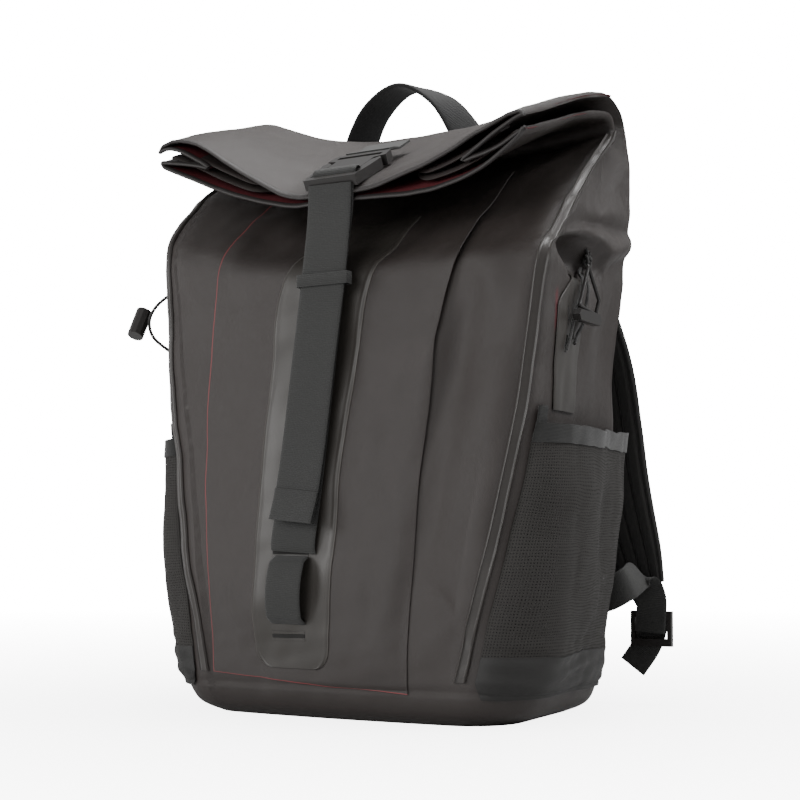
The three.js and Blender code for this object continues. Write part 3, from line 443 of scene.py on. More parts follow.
@dataclass(frozen=True)
class Crease:
    """A fold of the cloth along a line of places, each an x or y and a z in millimetres.

    The fold falls off over its first reach on the left of the line and over its second on the right.
    """

    face: Face
    path: tuple
    reach: tuple[float, float]
    height: float

    def mirrored(self) -> "Crease":
        """The same fold on the other flank, where it is somewhat lower."""
        return Crease(Face.LEFT, self.path, self.reach, 0.7 * self.height)

    def rise(self, places: Array) -> Array:
        """Height of the fold at places of its face.

        Args:
            places: Pairs of a place along the face and a z.

        Returns:
            Heights in millimetres.
        """
        nearest = np.full(places.shape[:-1], np.inf)
        side, taper = np.zeros_like(nearest), np.zeros_like(nearest)
        path = np.array(self.path, float)
        count = len(path) - 1
        for index in range(count):
            line = path[index + 1] - path[index]
            share = np.clip(((places - path[index]) @ line) / (line @ line), 0, 1)
            gap = places - path[index] - share[..., None] * line
            distance = np.linalg.norm(gap, axis=-1)
            closer = distance < nearest
            nearest = np.where(closer, distance, nearest)
            side = np.where(closer, line[0] * gap[..., 1] - line[1] * gap[..., 0], side)
            taper = np.where(closer, (index + share) / count, taper)
        reach = np.where(side > 0, self.reach[0], self.reach[1])
        fade = 0.35 + 0.65 * np.sin(math.pi * np.clip(taper, 0.02, 0.98)) ** 0.5
        return self.height * fade * (1 + (nearest / reach) ** 2) ** -1.5


FLANK_CREASES = (
    Crease(Face.RIGHT, ((-66, 334), (-40, 335), (-8, 335), (22, 332)), (13, 12), -13.0),
    Crease(Face.RIGHT, ((-64, 331), (-53, 322), (-39, 317), (-13, 316), (6, 318)), (5, 15), 5.5),
    Crease(Face.RIGHT, ((-48, 346), (-22, 351), (0, 354), (19, 353), (33, 346), (33, 336)), (15, 5), 5.0),
    Crease(Face.RIGHT, ((-44, 352), (-20, 360), (14, 364), (55, 367), (96, 372)), (9, 8), -7.0),
    Crease(Face.RIGHT, ((34, 346), (55, 351), (78, 360)), (9, 7), 4.0),
    Crease(Face.RIGHT, ((36, 330), (63, 341), (98, 352)), (8, 14), -6.0),
    Crease(Face.RIGHT, ((8, 316), (-2, 296), (-8, 262)), (10, 16), -3.4),
    Crease(Face.RIGHT, ((50, 330), (44, 290), (42, 236)), (20, 14), 3.0),
    Crease(Face.RIGHT, ((100, 326), (92, 286), (90, 232)), (20, 22), -9.0),
    Crease(Face.RIGHT, ((70, 408), (92, 372)), (12, 12), -2.2),
)
FRONT_CREASES = (
    Crease(Face.FRONT, ((108, 300), (96, 250), (84, 205)), (14, 14), -3.4),
    Crease(Face.FRONT, ((128, 250), (118, 120)), (18, 18), 2.6),
    Crease(Face.FRONT, ((86, 96), (108, 70), (128, 40)), (9, 12), -4.4),
    Crease(Face.FRONT, ((78, 52), (122, 92)), (12, 12), 2.2),
    Crease(Face.FRONT, ((104, 352), (126, 300)), (16, 16), 2.8),
    Crease(Face.FRONT, ((-136, 330), (-126, 250)), (18, 18), 2.0),
    Crease(Face.FRONT, ((-120, 110), (-128, 40)), (14, 14), -2.0),
    Crease(Face.FRONT, ((-104, 372), (-60, 350), (-20, 356)), (14, 14), -2.0),
)
CREASES = FLANK_CREASES + FRONT_CREASES + tuple(crease.mirrored() for crease in FLANK_CREASES)


@dataclass(frozen=True)
class BodySurface:
    """The pack's outer skin as a function of a row, 0 at the base to 20 at the lip, and a way round.

    The way runs from 0 to 8: front, corner, right side, corner, back, corner, left side, corner.
    """

    width: float = 324
    depth: float = 190
    height: float = 477
    crown: float = 4
    level: float = 0.17
    last: int = 20
    shoulder: tuple = (
        (7, 0.000, 0.000), (8, 0.000, 0.030), (9, 0.000, 0.070), (10, 0.040, 0.078), (11, 0.084, 0.072),
        (12, 0.130, 0.055), (13, 0.080, 0.030), (14, 0.000, 0.000),
    )
    mouth: tuple = ((14, 0.000, 0.000), (16, 0.012, 0.008), (18, 0.028, 0.022), (20, 0.036, 0.030))
    mouth_from: float = 0.25
    pinch: tuple[float, float] = (0.008, -0.011)
    sections: tuple = (
        (-0.463, 0.000, 0.379, 0.000, 0.389, 0.376, 0.210, 0.000, 0.000, 0.000, 2.0, 2.0),
        (-0.526, 0.019, 0.442, 0.019, 0.439, 0.427, 0.242, 0.000, 0.000, 0.000, 2.0, 2.0),
        (-0.558, 0.067, 0.474, 0.067, 0.462, 0.446, 0.263, 0.000, 0.000, 0.000, 2.0, 2.0),
        (-0.563, 0.156, 0.484, 0.156, 0.468, 0.452, 0.253, 0.000, 0.000, 0.000, 2.0, 2.0),
        (-0.553, 0.260, 0.489, 0.260, 0.476, 0.455, 0.221, 0.000, 0.000, 0.000, 2.0, 2.0),
        (-0.532, 0.371, 0.489, 0.371, 0.487, 0.462, 0.189, 0.000, 0.000, 0.000, 2.0, 2.0),
        (-0.511, 0.469, 0.489, 0.479, 0.496, 0.468, 0.158, 0.000, 0.000, 0.000, 2.0, 2.0),
        (-0.489, 0.567, 0.495, 0.604, 0.505, 0.478, 0.126, 0.000, 0.000, 0.000, 2.0, 2.0),
        (-0.474, 0.642, 0.500, 0.698, 0.514, 0.490, 0.105, 0.000, 0.000, 0.000, 2.0, 2.0),
        (-0.453, 0.690, 0.511, 0.754, 0.520, 0.497, 0.084, 0.000, 0.000, 0.000, 2.0, 2.0),
        (-0.347, 0.727, 0.511, 0.802, 0.512, 0.497, 0.074, 0.006, 0.000, 0.000, 2.0, 2.0),
        (-0.179, 0.780, 0.505, 0.850, 0.500, 0.490, 0.063, 0.014, 0.000, 0.000, 2.0, 2.0),
        (0.047, 0.848, 0.495, 0.896, 0.488, 0.486, 0.053, 0.025, 0.006, 0.004, 3.0, 2.0),
        (0.242, 0.896, 0.474, 0.933, 0.480, 0.482, 0.042, 0.038, 0.014, 0.008, 3.0, 1.5),
        (0.326, 0.912, 0.432, 0.960, 0.476, 0.480, 0.034, 0.070, 0.040, 0.018, 3.0, 1.2),
        (0.310, 0.924, 0.315, 0.968, 0.476, 0.480, 0.026, 0.096, 0.062, 0.026, 3.0, 1.2),
        (0.222, 0.920, 0.190, 0.959, 0.476, 0.480, 0.024, 0.121, 0.065, 0.028, 2.8, 1.6),
        (0.000, 0.884, -0.021, 0.919, 0.476, 0.480, 0.022, 0.134, 0.075, 0.042, 2.4, 2.2),
        (-0.263, 0.838, -0.290, 0.871, 0.478, 0.481, 0.021, 0.140, 0.088, 0.050, 1.8, 2.8),
        (-0.442, 0.804, -0.468, 0.835, 0.480, 0.482, 0.020, 0.143, 0.094, 0.060, 1.5, 3.2),
        (-0.532, 0.781, -0.547, 0.811, 0.482, 0.484, 0.019, 0.143, 0.102, 0.073, 1.3, 3.5),
    )
    side_dents: tuple = (
        (8.6, 0.36, 0.9, 0.22, 0.046), (10.3, 0.62, 0.8, 0.30, -0.012),
        (7.0, 0.86, 1.2, 0.16, 0.030), (4.4, 0.52, 1.9, 0.28, 0.020),
    )
    front_dents: tuple = (
        (5.5, 0.74, 2.6, 0.12, 0.026), (3.0, 0.62, 1.2, 0.10, 0.016),
        (10.6, 0.10, 1.0, 0.45, -0.022), (8.6, -0.80, 1.2, 0.16, 0.014),
    )

    def base(self, rows: Array, way: Array) -> Array:
        """The plain surface: each row is a rounded oblong in its own plane from a front to a back edge.

        Args:
            rows: Row numbers.
            way: The way round, of a shape that goes with the rows.

        Returns:
            Points in millimetres.
        """
        rows, way = np.broadcast_arrays(np.asarray(rows, float), np.asarray(way, float) % 8)
        (front_y, front_z, back_y, back_z, front_half, back_half, rounding, tuck, left_lift, right_lift,
         left_power, right_power) = np.moveaxis(columns_at(np.array(self.sections), rows), -1, 0)
        forward, rise = from_table(self.shoulder, rows)
        thick = np.hypot(self.depth * (back_y - front_y), self.height * (back_z - front_z))
        rounding = self.depth * rounding
        part = np.floor(way).astype(int)
        share = way - part
        side = np.where((part >= 1) & (part <= 3), 1.0, -1.0)
        across = np.where(part == 0, 2 * share - 1, 1 - 2 * share)
        turn = np.where((part == 1) | (part == 5), share, 1 - share) * math.pi / 2
        along = np.where(part == 2, share, 1 - share)
        half = self.width * np.where((part >= 3) & (part <= 5), back_half, front_half)
        relief = self.bumps(rows, across, self.front_dents, self.depth)
        relief -= self.crown * (1 - across**2) * np.minimum(1, thick / self.depth)
        depth_in = rounding * (1 - np.cos(turn))
        side_half = self.width * lerp(front_half, back_half, along)
        side_half -= self.width * tuck * (1 - np.abs(2 * along - 1))
        fade = np.sqrt(np.sin(math.pi * np.clip(along, 0, 1)))
        side_half -= self.bumps(rows, along, self.side_dents, self.width) * fade
        x = np.select(
            [part == 0, part == 4, (part == 2) | (part == 6)],
            [(half - rounding) * across, (half - rounding) * across, side * side_half],
            side * (half - rounding + rounding * np.sin(turn)))
        distance = np.select(
            [part == 0, part == 4, (part == 2) | (part == 6), (part == 3) | (part == 5)],
            [relief, thick, lerp(rounding, thick - rounding, along), thick - depth_in], depth_in)
        reach = distance / thick
        inside = np.clip(reach, 0, 1)
        place = np.clip(x / (self.width * lerp(front_half, back_half, inside)), -1, 1)
        fullness = np.maximum(-place, 0) ** 2 * (1 - inside)
        lift = np.where(place < 0, left_lift, right_lift)
        power = np.where(place < 0, left_power, right_power)
        ends = np.maximum((np.abs(place) - self.level) / (1 - self.level), 0) ** power
        y = self.depth * (lerp(front_y, back_y, reach) - fullness * forward)
        left_open, right_open = from_table(self.mouth, rows)
        opening = np.where(place < 0, left_open, right_open) * (1 - place**12)
        opening = opening * np.clip((np.abs(place) - self.mouth_from) / 0.5, 0, 1) * inside
        pinch = lerp(*self.pinch, inside) * smooth(15, 19.5, rows) * bell(place, 0.42)
        z = self.height * (lerp(front_z, back_z, reach) + fullness * rise + lift * ends + opening + pinch)
        return np.stack([x, y, z], axis=-1)

    def bumps(self, rows: Array, along: Array, table: tuple, size: float) -> Array:
        """The sum of the dents in a table: row, place along, both reaches, and depth as a share of size."""
        return sum(depth * size * bell(rows - row, row_reach) * bell(along - place, reach)
                   for row, place, row_reach, reach, depth in table)

    def normal(self, shape: Callable[[Array, Array], Array], rows: Array, way: Array) -> Array:
        """Outward normals of a surface, across its two directions.

        Args:
            shape: The surface, a function of rows and way.
            rows: Row numbers.
            way: The way round, of a shape that goes with the rows.

        Returns:
            Vectors of length one.
        """
        step = 0.02
        around = shape(rows, way + step) - shape(rows, way - step)
        upward = shape(rows + step, way) - shape(rows - step, way)
        return unit(np.cross(around, upward))

    def folds(self, rows: Array, way: Array, points: Array) -> Array:
        """Height of all folds and of the seam round the base.

        Args:
            rows: Row numbers.
            way: The way round, of a shape that goes with the rows.
            points: The plain surface's points there.

        Returns:
            Heights in millimetres.
        """
        way = way % 8
        x, y, z = np.moveaxis(points, -1, 0)
        height = np.zeros(points.shape[:-1])
        masks = {
            Face.FRONT: smooth(-0.05, 0.06, way) * (1 - smooth(0.96, 1.4, way)),
            Face.RIGHT: smooth(1.2, 2.0, way) * (1 - smooth(3.3, 4.0, way)),
            Face.LEFT: smooth(5.0, 5.7, way) * (1 - smooth(7.0, 7.6, way)),
        }
        for crease in CREASES:
            here = np.stack([x if crease.face is Face.FRONT else y, z], axis=-1)
            height += crease.rise(here) * masks[crease.face]
        height -= 0.9 * bell(rows - 1.75, 0.07)
        return height * (1 - smooth(11.5, 13.5, rows))

    def ripples(self, points: Array) -> Array:
        """Small waves of the cloth: a sum of sines along directions drawn once with a fixed seed.

        Args:
            points: Points in millimetres.

        Returns:
            Heights in millimetres.
        """
        chance = np.random.default_rng(7)
        total = np.zeros(points.shape[:-1])
        for reach in (95.0, 70.0, 48.0, 34.0, 26.0, 19.0):
            for _ in range(3):
                wave = unit(chance.normal(size=3)) * (2 * math.pi / reach)
                bend = unit(chance.normal(size=3)) * (2 * math.pi / (reach * 2.3))
                phase = chance.uniform(0, 6.28, 2)
                swing = 1.4 * np.sin(points @ bend + phase[1])
                total += reach * 0.0045 * np.sin(points @ wave + phase[0] + swing)
        return total

    def skin(self, rows: Array, way: Array) -> Array:
        """The surface with its folds and small waves.

        Args:
            rows: Row numbers.
            way: The way round, of a shape that goes with the rows.

        Returns:
            Points in millimetres.
        """
        rows, way = np.broadcast_arrays(np.asarray(rows, float), np.asarray(way, float))
        points = self.base(rows, way)
        calm = smooth(0.6, 2.5, rows) * (1 - 0.55 * smooth(13, 15, rows))
        height = self.folds(rows, way, points) + self.ripples(points) * calm
        return points + self.normal(self.base, rows, way) * height[..., None]

    def raised(self, rows: Array, way: Array, lift: Array | float) -> Array:
        """Points at a height over the skin.

        Args:
            rows: Row numbers.
            way: The way round, of a shape that goes with the rows.
            lift: Height over the skin in millimetres.

        Returns:
            Points in millimetres.
        """
        rows, way = np.broadcast_arrays(np.asarray(rows, float), np.asarray(way, float))
        out = self.normal(self.skin, rows, way)
        return self.skin(rows, way) + out * np.broadcast_to(lift, rows.shape)[..., None]


SURFACE = BodySurface()


def ends_dense(count: int, power: float = 1.6) -> Array:
    """Shares from 0 to 1 that lie closer together near both ends."""
    line = np.linspace(-1, 1, count)
    return 0.5 + 0.5 * np.sign(line) * (1 - (1 - np.abs(line)) ** power)


@dataclass
class Body:
    """The body shell with its red lining in the mouth of the roll."""

    wall: float = 1.8
    row_count: int = 245
    lining_from: float = 15.2
    hem_half_height: float = 3.2
    hem_half_thickness: float = 1.6
    panels: tuple = ("body_base", "body_front", "body_right", "body_back", "body_left", "body_roll")

    def ways(self) -> Array:
        """The way round in steps that are finer at the corners than along the faces."""
        counts = (84, 10, 76, 8, 36, 8, 56, 10)
        return np.concatenate([part + np.arange(count) / count for part, count in enumerate(counts)])

    def skin_mesh(self) -> MeshData:
        """Outer skin, underside and the lining that shows in the mouth.

        Returns:
            The mesh, in millimetres.
        """
        data = MeshData()
        rows = np.linspace(0, SURFACE.last, self.row_count)[:, None]
        way = self.ways()[None, :]
        outer = SURFACE.skin(rows, way)
        outer[0, :, 2] = 0
        data.grid(outer, closed=True, accent=self.tape_marks(rows, way))
        data.fan(outer[0], flip=True)
        inner_rows = np.linspace(self.lining_from, SURFACE.last, 44)[:, None]
        inner = SURFACE.raised(inner_rows, way, -self.wall)
        data.grid(inner, closed=True, flip=True, slot=1)
        data.grid(np.stack([outer[-1], inner[-1]]), closed=True, slot=0)
        return data

    def tape_marks(self, rows: Array, way: Array) -> Array:
        """A short red mark on the tape of the right front seam."""
        return bell(way - 1.98, 0.035) * smooth(7.0, 7.2, rows) * (1 - smooth(7.7, 7.9, rows)) * 0.5

    def hem_mesh(self) -> MeshData:
        """A doubled hem round the lip: an oval swept along the last row.

        Returns:
            The mesh, in millimetres.
        """
        way = self.ways()[None, :]
        turn = np.linspace(0, 2 * math.pi, 15)[:-1, None]
        row = SURFACE.last - 0.10
        middle = SURFACE.raised(row, way, -self.wall / 2)
        out = SURFACE.normal(SURFACE.base, np.full(way.shape, row), way)
        upward = unit(SURFACE.base(row + 0.05, way) - SURFACE.base(row - 0.05, way))
        oval = (middle + out * self.hem_half_thickness * np.cos(turn)[..., None]
                + upward * self.hem_half_height * np.sin(turn)[..., None])
        data = MeshData()
        data.grid(np.concatenate([oval, oval[:1]]), closed=True, flip=True)
        return data

    def gusset_mesh(self) -> MeshData:
        """Folded layers between the two lips at both ends of the mouth.

        Returns:
            The mesh, in millimetres.
        """
        data = MeshData()
        for side, inner_end in ((-1, 0.16), (1, 0.22)):
            for level, reach in ((0.36, 0.97), (0.64, 0.90)):
                across = side * np.linspace(inner_end, reach, 60)[None, :]
                depth = np.linspace(0, 1, 10)[:, None]
                dive = 2.2 * (1 - smooth(inner_end, inner_end + 0.34, np.abs(across)))
                row = SURFACE.last - 0.22 - 0.9 * depth - dive
                low = SURFACE.base(row, (across + 1) / 2)
                high = SURFACE.base(row, 4.5 - across / 2)
                wave = 0.10 * np.sin(5 * across + 3 * level) * np.abs(across)
                middle = lerp(low, high, (level + wave)[..., None])
                out = unit(high - low)
                fold = 1.2 * np.sqrt(np.clip(depth / 0.12, 0, 1)) + 0.1
                data.sheet(middle + out * fold[..., None], middle - out * fold[..., None])
        return data

    def dress(self) -> None:
        """Adds the shell, the hem and the inner folds."""
        shell = self.skin_mesh().build("body_cloth", (SHELL, LINING))
        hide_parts(*self.panels)
        self.hem_mesh().build("lip_hem", (FLAP,))
        self.gusset_mesh().build("mouth_folds", (SHELL,))


class Piece:
    """What a layer, a band and a cord have in common: a name, a finish and the nodes that they replace."""

    def dress(self) -> bpy.types.Object:
        """Adds the piece and lets it stand for its nodes.

        Returns:
            The piece's object.
        """
        piece = self.mesh().build(self.name, (self.finish,))
        if self.replaces:
            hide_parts(*self.replaces)
        return piece


@dataclass
class Layer(Piece):
    """A sheet of cloth welded or sewn on the body, between two rows and two edges of the way round."""

    name: str
    finish: Finish
    replaces: tuple[str, ...]
    first: float
    last: float
    edges: tuple
    lift: float
    thickness: float
    counts: tuple[int, int] = (90, 60)
    corner: float = 0.0
    sag: float = 0.0
    swell: Callable[[Array, Array], Array] | None = None
    accent: Callable[[Array, Array], Array] | None = None
    to_way: Callable[[Array], Array] = staticmethod(lambda share: (share + 1) / 2)

    def mesh(self) -> MeshData:
        """Lays the sheet on the skin; its edges thin out to a soft rim.

        Returns:
            The mesh, in millimetres.
        """
        rows = lerp(self.first, self.last, ends_dense(self.counts[0]))[:, None]
        share = ends_dense(self.counts[1])[None, :]
        low, high = from_table(self.edges, rows)
        if self.corner:
            inset = self.corner - np.sqrt(np.clip(
                self.corner**2 - np.clip(self.corner - (rows - self.first), 0, self.corner) ** 2, 0, None))
            squeeze = inset / self.corner * 0.10
            low, high = low + squeeze, high - squeeze
        way = self.to_way(lerp(low, high, share))
        rows = rows - self.sag * share * np.exp(-2 * (rows - self.first))
        swell = self.swell(rows, share) if self.swell else 0.0
        rim = np.minimum(1, 18 * np.minimum(share, 1 - share)) ** 0.5
        raise_by = np.broadcast_to(self.lift + swell, way.shape)
        data = MeshData()
        mark = self.accent(rows, np.broadcast_to(share, way.shape)) if self.accent else None
        outer = SURFACE.raised(rows, way, raise_by + self.thickness * (0.35 + 0.65 * rim))
        inner = SURFACE.raised(rows, way, raise_by - 0.25)
        data.sheet(outer, inner, accent=mark)
        return data


@dataclass
class Band(Piece):
    """Webbing along a smooth path, with the direction of its width all along it."""

    name: str
    path: Sequence[Sequence[float]]
    across: Sequence[Sequence[float]]
    width: float
    thickness: float
    replaces: tuple[str, ...] = ()
    finish: Finish = WEBBING
    samples: int = 90
    cup: float = 0.0

    def mesh(self) -> MeshData:
        """Sweeps a flat section with rounded edges; cup bends its edges to one side.

        Returns:
            The mesh, in millimetres.
        """
        line = curve_through(np.array(self.path), self.samples)
        ahead = unit(np.gradient(line, axis=0))
        side = curve_through(np.array(self.across), self.samples) if len(self.across) > 1 else \
            np.broadcast_to(np.array(self.across[0], float), line.shape)
        side = unit(side - ahead * (side * ahead).sum(axis=-1, keepdims=True))
        out = np.cross(side, ahead)
        share = ends_dense(15) * 2 - 1
        full = (1 - np.abs(share) ** 14) ** 0.5 * self.thickness / 2
        middle = line[:, None] + side[:, None] * (share * self.width / 2)[:, None]
        middle = middle + out[:, None] * (self.cup * (share**2))[:, None]
        offset = out[:, None] * full[:, None]
        data = MeshData()
        data.sheet(middle + offset, middle - offset)
        return data


@dataclass
class Tube(Piece):
    """A round cord along a smooth path."""

    name: str
    path: Sequence[Sequence[float]]
    diameter: float
    replaces: tuple[str, ...] = ()
    finish: Finish = CORD
    samples: int = 120
    closed: bool = False

    def mesh(self) -> MeshData:
        """Sweeps a circle along the path.

        Returns:
            The mesh, in millimetres.
        """
        points = np.array(self.path, float)
        if self.closed:
            points = np.concatenate([points[-1:], points, points[:2]])
        line = curve_through(points, self.samples)
        if self.closed:
            line = line[int(self.samples / (len(points) - 1)):]
        ahead = unit(np.gradient(line, axis=0))
        guide = np.array([0.31, 0.27, 0.91])
        side = unit(np.cross(ahead, guide))
        out = np.cross(side, ahead)
        turn = np.linspace(0, 2 * math.pi, 13)[None, :, None]
        spoke = side[:, None] * np.cos(turn) + out[:, None] * np.sin(turn)
        ring = line[:, None] + spoke * self.diameter / 2
        data = MeshData()
        data.grid(ring[:, :-1], closed=True)
        for end, flip in ((0, True), (-1, False)):
            data.fan(ring[end, :-1], flip=flip)
        return data


@dataclass
class FrontLayers:
    """The overlay on the front, the patch on it with two slots, and the welded corner flanges."""

    overlay_edges: tuple = (
        (2, -0.99, 0.68), (3, -0.98, 0.66), (5, -0.92, 0.62), (7, -0.80, 0.60), (9, -0.72, 0.66),
        (12, -0.70, 0.66),
    )
    patch_edges: tuple = (
        (2.15, -0.55, 0.05), (2.4, -0.58, 0.06), (3, -0.58, 0.07), (5, -0.48, 0.10), (7, -0.37, 0.17),
        (8, -0.34, 0.19), (9, -0.28, 0.22), (10, -0.25, 0.26), (11, -0.24, 0.28),
    )
    flange_turns: tuple = ((2, 0.10), (4, 0.28), (6, 0.42), (7, 0.44), (8.8, 0.42), (10, 0.52), (12, 0.62),
                           (14, 0.62))
    flange_end: float = 13.8
    flange_half_width: float = 9 / math.pi
    hem_sag: float = 0.35

    def overlay(self) -> Layer:
        """The overlay, open along its right edge, with a thin red line on its left and lower edges.

        Returns:
            The layer.
        """
        def swell(rows: Array, share: Array) -> Array:
            """The right edge stands off, most in the upper half."""
            return 3.2 * share**10 * smooth(3.0, 8.5, rows)

        def line(rows: Array, share: Array) -> Array:
            """Marks the outermost strip of the left and the lower edge."""
            return np.maximum((share < 0.006) * 0.6, (rows < 2.012 - self.hem_sag * share) * 0.9)

        return Layer("overlay_cloth", OVERLAY, ("front_overlay",), 2, 12, self.overlay_edges, 0.5, 1.0,
                     (170, 96), sag=self.hem_sag, swell=swell, accent=line)

    def patch(self) -> Layer:
        """The film patch with a raised welded border.

        Returns:
            The layer.
        """
        def swell(rows: Array, share: Array) -> Array:
            """A low bead along the edges."""
            edge = np.minimum(share, 1 - share)
            return 0.45 * bell(edge - 0.035, 0.018)

        def line(rows: Array, share: Array) -> Array:
            """Painted highlight: the outermost strip of the film is drawn lighter, for the light along its
            embossed edge.
            """
            edge = np.minimum(share, 1 - share)
            return (edge < 0.012) * 0.6

        return Layer("patch_film", PATCH, ("lock_patch",), 2.15, 11, self.patch_edges, 1.75, 0.9,
                     (150, 60), corner=0.34, swell=swell, accent=line)

    def slots(self) -> None:
        """Two slots through the patch, each a dark sheet of painted shadow between two raised lips."""
        for index, (row, low, high) in enumerate(((3.93, -0.38, -0.10), (2.70, -0.41, -0.13))):
            for name, finish, offset, half, rise in (
                    ("gap", DARK, 0.0, 0.028, 2.8), ("lip_a", PATCH, 0.055, 0.020, 2.7),
                    ("lip_b", PATCH, -0.055, 0.020, 2.7)):
                first, last = row + offset - half, row + offset + half
                edges = ((first, low, high), (last, low, high))
                Layer(f"slot_{name}_{index + 1}", finish, (), first, last, edges, rise,
                      0.5 if finish is PATCH else 0.25, (7, 40)).dress()

    def flange(self, side: int, name: str) -> Layer:
        """A welded flange with a bead along each of its edges.

        Args:
            side: 1 on the right, -1 on the left.
            name: The side's name.

        Returns:
            The layer.
        """
        def swell(rows: Array, share: Array) -> Array:
            """Two beads, and a valley between them."""
            return 1.3 * (bell(share - 0.12, 0.07) + bell(share - 0.88, 0.07))

        rows = np.linspace(2, self.flange_end, 25)
        (turn,) = from_table(self.flange_turns, rows)
        rounding = SURFACE.depth * columns_at(np.array(SURFACE.sections), rows)[:, 6]
        half = self.flange_half_width / rounding
        edges = tuple(zip(rows, np.clip(turn - half, 0, 1), np.clip(turn + half, 0, 1)))
        to_way = (lambda turn: 1 + turn) if side > 0 else (lambda turn: 8 - turn)
        return Layer(f"seam_flange_{name}", EDGE, (f"corner_flange_{name}",), 2, self.flange_end, edges,
                     0.5, 0.7, (190, 24), swell=swell, to_way=to_way)

    def dress(self) -> None:
        """Adds all layers of the front."""
        self.overlay().dress()
        self.patch().dress()
        self.slots()
        for side, name in ((1, "right"), (-1, "left")):
            turn_over(self.flange(side, name).dress(), side)


def turn_over(piece: bpy.types.Object, side: int) -> None:
    """Turns the faces of a piece over where its way round runs backwards, on the left."""
    if side < 0:
        piece.data.flip_normals()


@dataclass
class ClosureStrap:
    """The strap from the patch over the roll to the buckle, its free tail, keeper and light loop."""

    width: float = 38
    thickness: float = 1.7
    head_x: float = 3
    patch_front: float = 3.75
    stand_off: float = 0.8
    tail_gap: float = 2.1
    tail_x: float = 1.5
    hem_height: float = 0.300
    keeper_height: float = 0.667
    keeper_half: tuple[float, float] = (21.6, 3.4)
    tail: tuple = (
        (0.300, 7.5), (0.318, 5.2), (0.363, 3.2), (0.419, 1.8), (0.545, 1.2), (0.629, 0.3), (0.667, 0.1),
        (0.723, 0.7),
    )

    def __post_init__(self) -> None:
        """Takes the strap's two ends from the surface as it is before its lips are pinched."""
        flat = replace(SURFACE, pinch=(0.0, 0.0))
        self.foot = flat.base(4.0, 0.395)
        self.lip = flat.base(20.0, 0.5)
        self.lip_top = flat.base(20.0, 4.5)
        self.foot_y = self.foot[1] - self.patch_front - self.stand_off
        self.head_y = min(self.lip[1], self.lip_top[1]) - self.stand_off - 0.45

    def share_at(self, height: float) -> float:
        """The share of the way from foot to lip at a share of the pack's height."""
        return (SURFACE.height * height - self.foot[2]) / (self.lip[2] - self.foot[2])

    def at(self, share: float) -> Array:
        """The strap's middle at a share of the way from its foot to the lip.

        Args:
            share: 0 at the foot, 1 at the lip, and beyond both in height alone.

        Returns:
            The point.
        """
        way = min(max(share, 0), 1)
        return np.array([lerp(self.foot[0], self.head_x, way), lerp(self.foot_y, self.head_y, way),
                         lerp(self.foot[2], self.lip[2], share)])

    def strap(self) -> Band:
        """The load strap, from the slot in the patch up to the plug of the buckle.

        Returns:
            The band.
        """
        top = np.array([self.head_x, self.head_y, self.lip_top[2] + 1])
        path = [self.at(share) for share in (-0.013, 0.025, 0.15, 0.3, 0.5, 0.7, 0.88, 0.985)] + [top]
        path[1][1] -= 1.5
        return Band("closure_webbing", path, [(1, 0, 0)], self.width, self.thickness, ("closure_strap",))

    def free_tail(self) -> Band:
        """The free end, which comes back down over the strap and lifts at its hem.

        Returns:
            The band.
        """
        path = []
        for height, off in self.tail:
            path.append(self.at(self.share_at(height)) + np.array([self.tail_x, -self.tail_gap - off, 0]))
        path += [self.at(0.985) + np.array([0, -self.tail_gap, 0]),
                 np.array([self.head_x, self.head_y - self.tail_gap, self.lip_top[2] + 1])]
        return Band("tail_webbing", path, [(1, 0, 0)], self.width - 1, self.thickness, ("strap_tail",))

    def hem(self) -> Band:
        """The sewn hem at the end of the tail.

        Returns:
            The band.
        """
        low = self.share_at(self.hem_height)
        path = [self.at(low + step) + np.array([self.tail_x, -self.tail_gap - off, 0])
                for step, off in ((0.000, 9.1), (0.03, 7.4), (0.065, 5.6), (0.09, 5.0))]
        return Band("tail_hem", path, [(1, 0, 0)], self.width - 1, 1.5, samples=20)

    def keeper(self) -> MeshData:
        """A flat ring of elastic round both layers of the strap.

        Returns:
            The mesh, in millimetres.
        """
        middle = self.at(self.share_at(self.keeper_height)) + np.array([self.tail_x, -1.0, 0])
        x, y = oblong(np.linspace(0, 2 * math.pi, 49)[:-1], (0.22, 0.22), self.keeper_half)
        heights = np.array([-4.3, -4.6, -4.3, 4.3, 4.6, 4.3])[:, None]
        swell = np.array([0.0, 0.6, 1.0, 1.0, 0.6, 0.0])[:, None]
        wide, deep = x * (1 + swell * 0.02), y * (1 + swell * 0.16)
        ring = middle + np.stack(np.broadcast_arrays(wide, deep, heights), axis=-1)
        data = MeshData()
        data.grid(ring, closed=True, flip=True)
        return data

    def light_loop(self) -> Band:
        """The vertical loop for a rear light, from slot to slot.

        Returns:
            The band.
        """
        top = self.foot[2] - 6.4
        surface_y = self.foot[1] - self.patch_front - 3.2
        share = np.linspace(0, 1, 13)
        bulge = 8 * np.sqrt(np.sin(math.pi * share))
        path = np.stack([self.foot[0] - 3 * share - 1, surface_y - bulge, top - 48 * share], axis=-1)
        path[0, 1] += 1.5
        path[-1, 1] += 1.5
        return Band("light_webbing", path, [(1, 0, 0)], 30, self.thickness, ("light_loop",))

    def dress(self) -> None:
        """Adds the strap and what is on it."""
        for band in (self.strap(), self.free_tail(), self.hem(), self.light_loop()):
            band.dress()
        ring = self.keeper().build("keeper_elastic", (WEBBING,))
        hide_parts("strap_keeper")


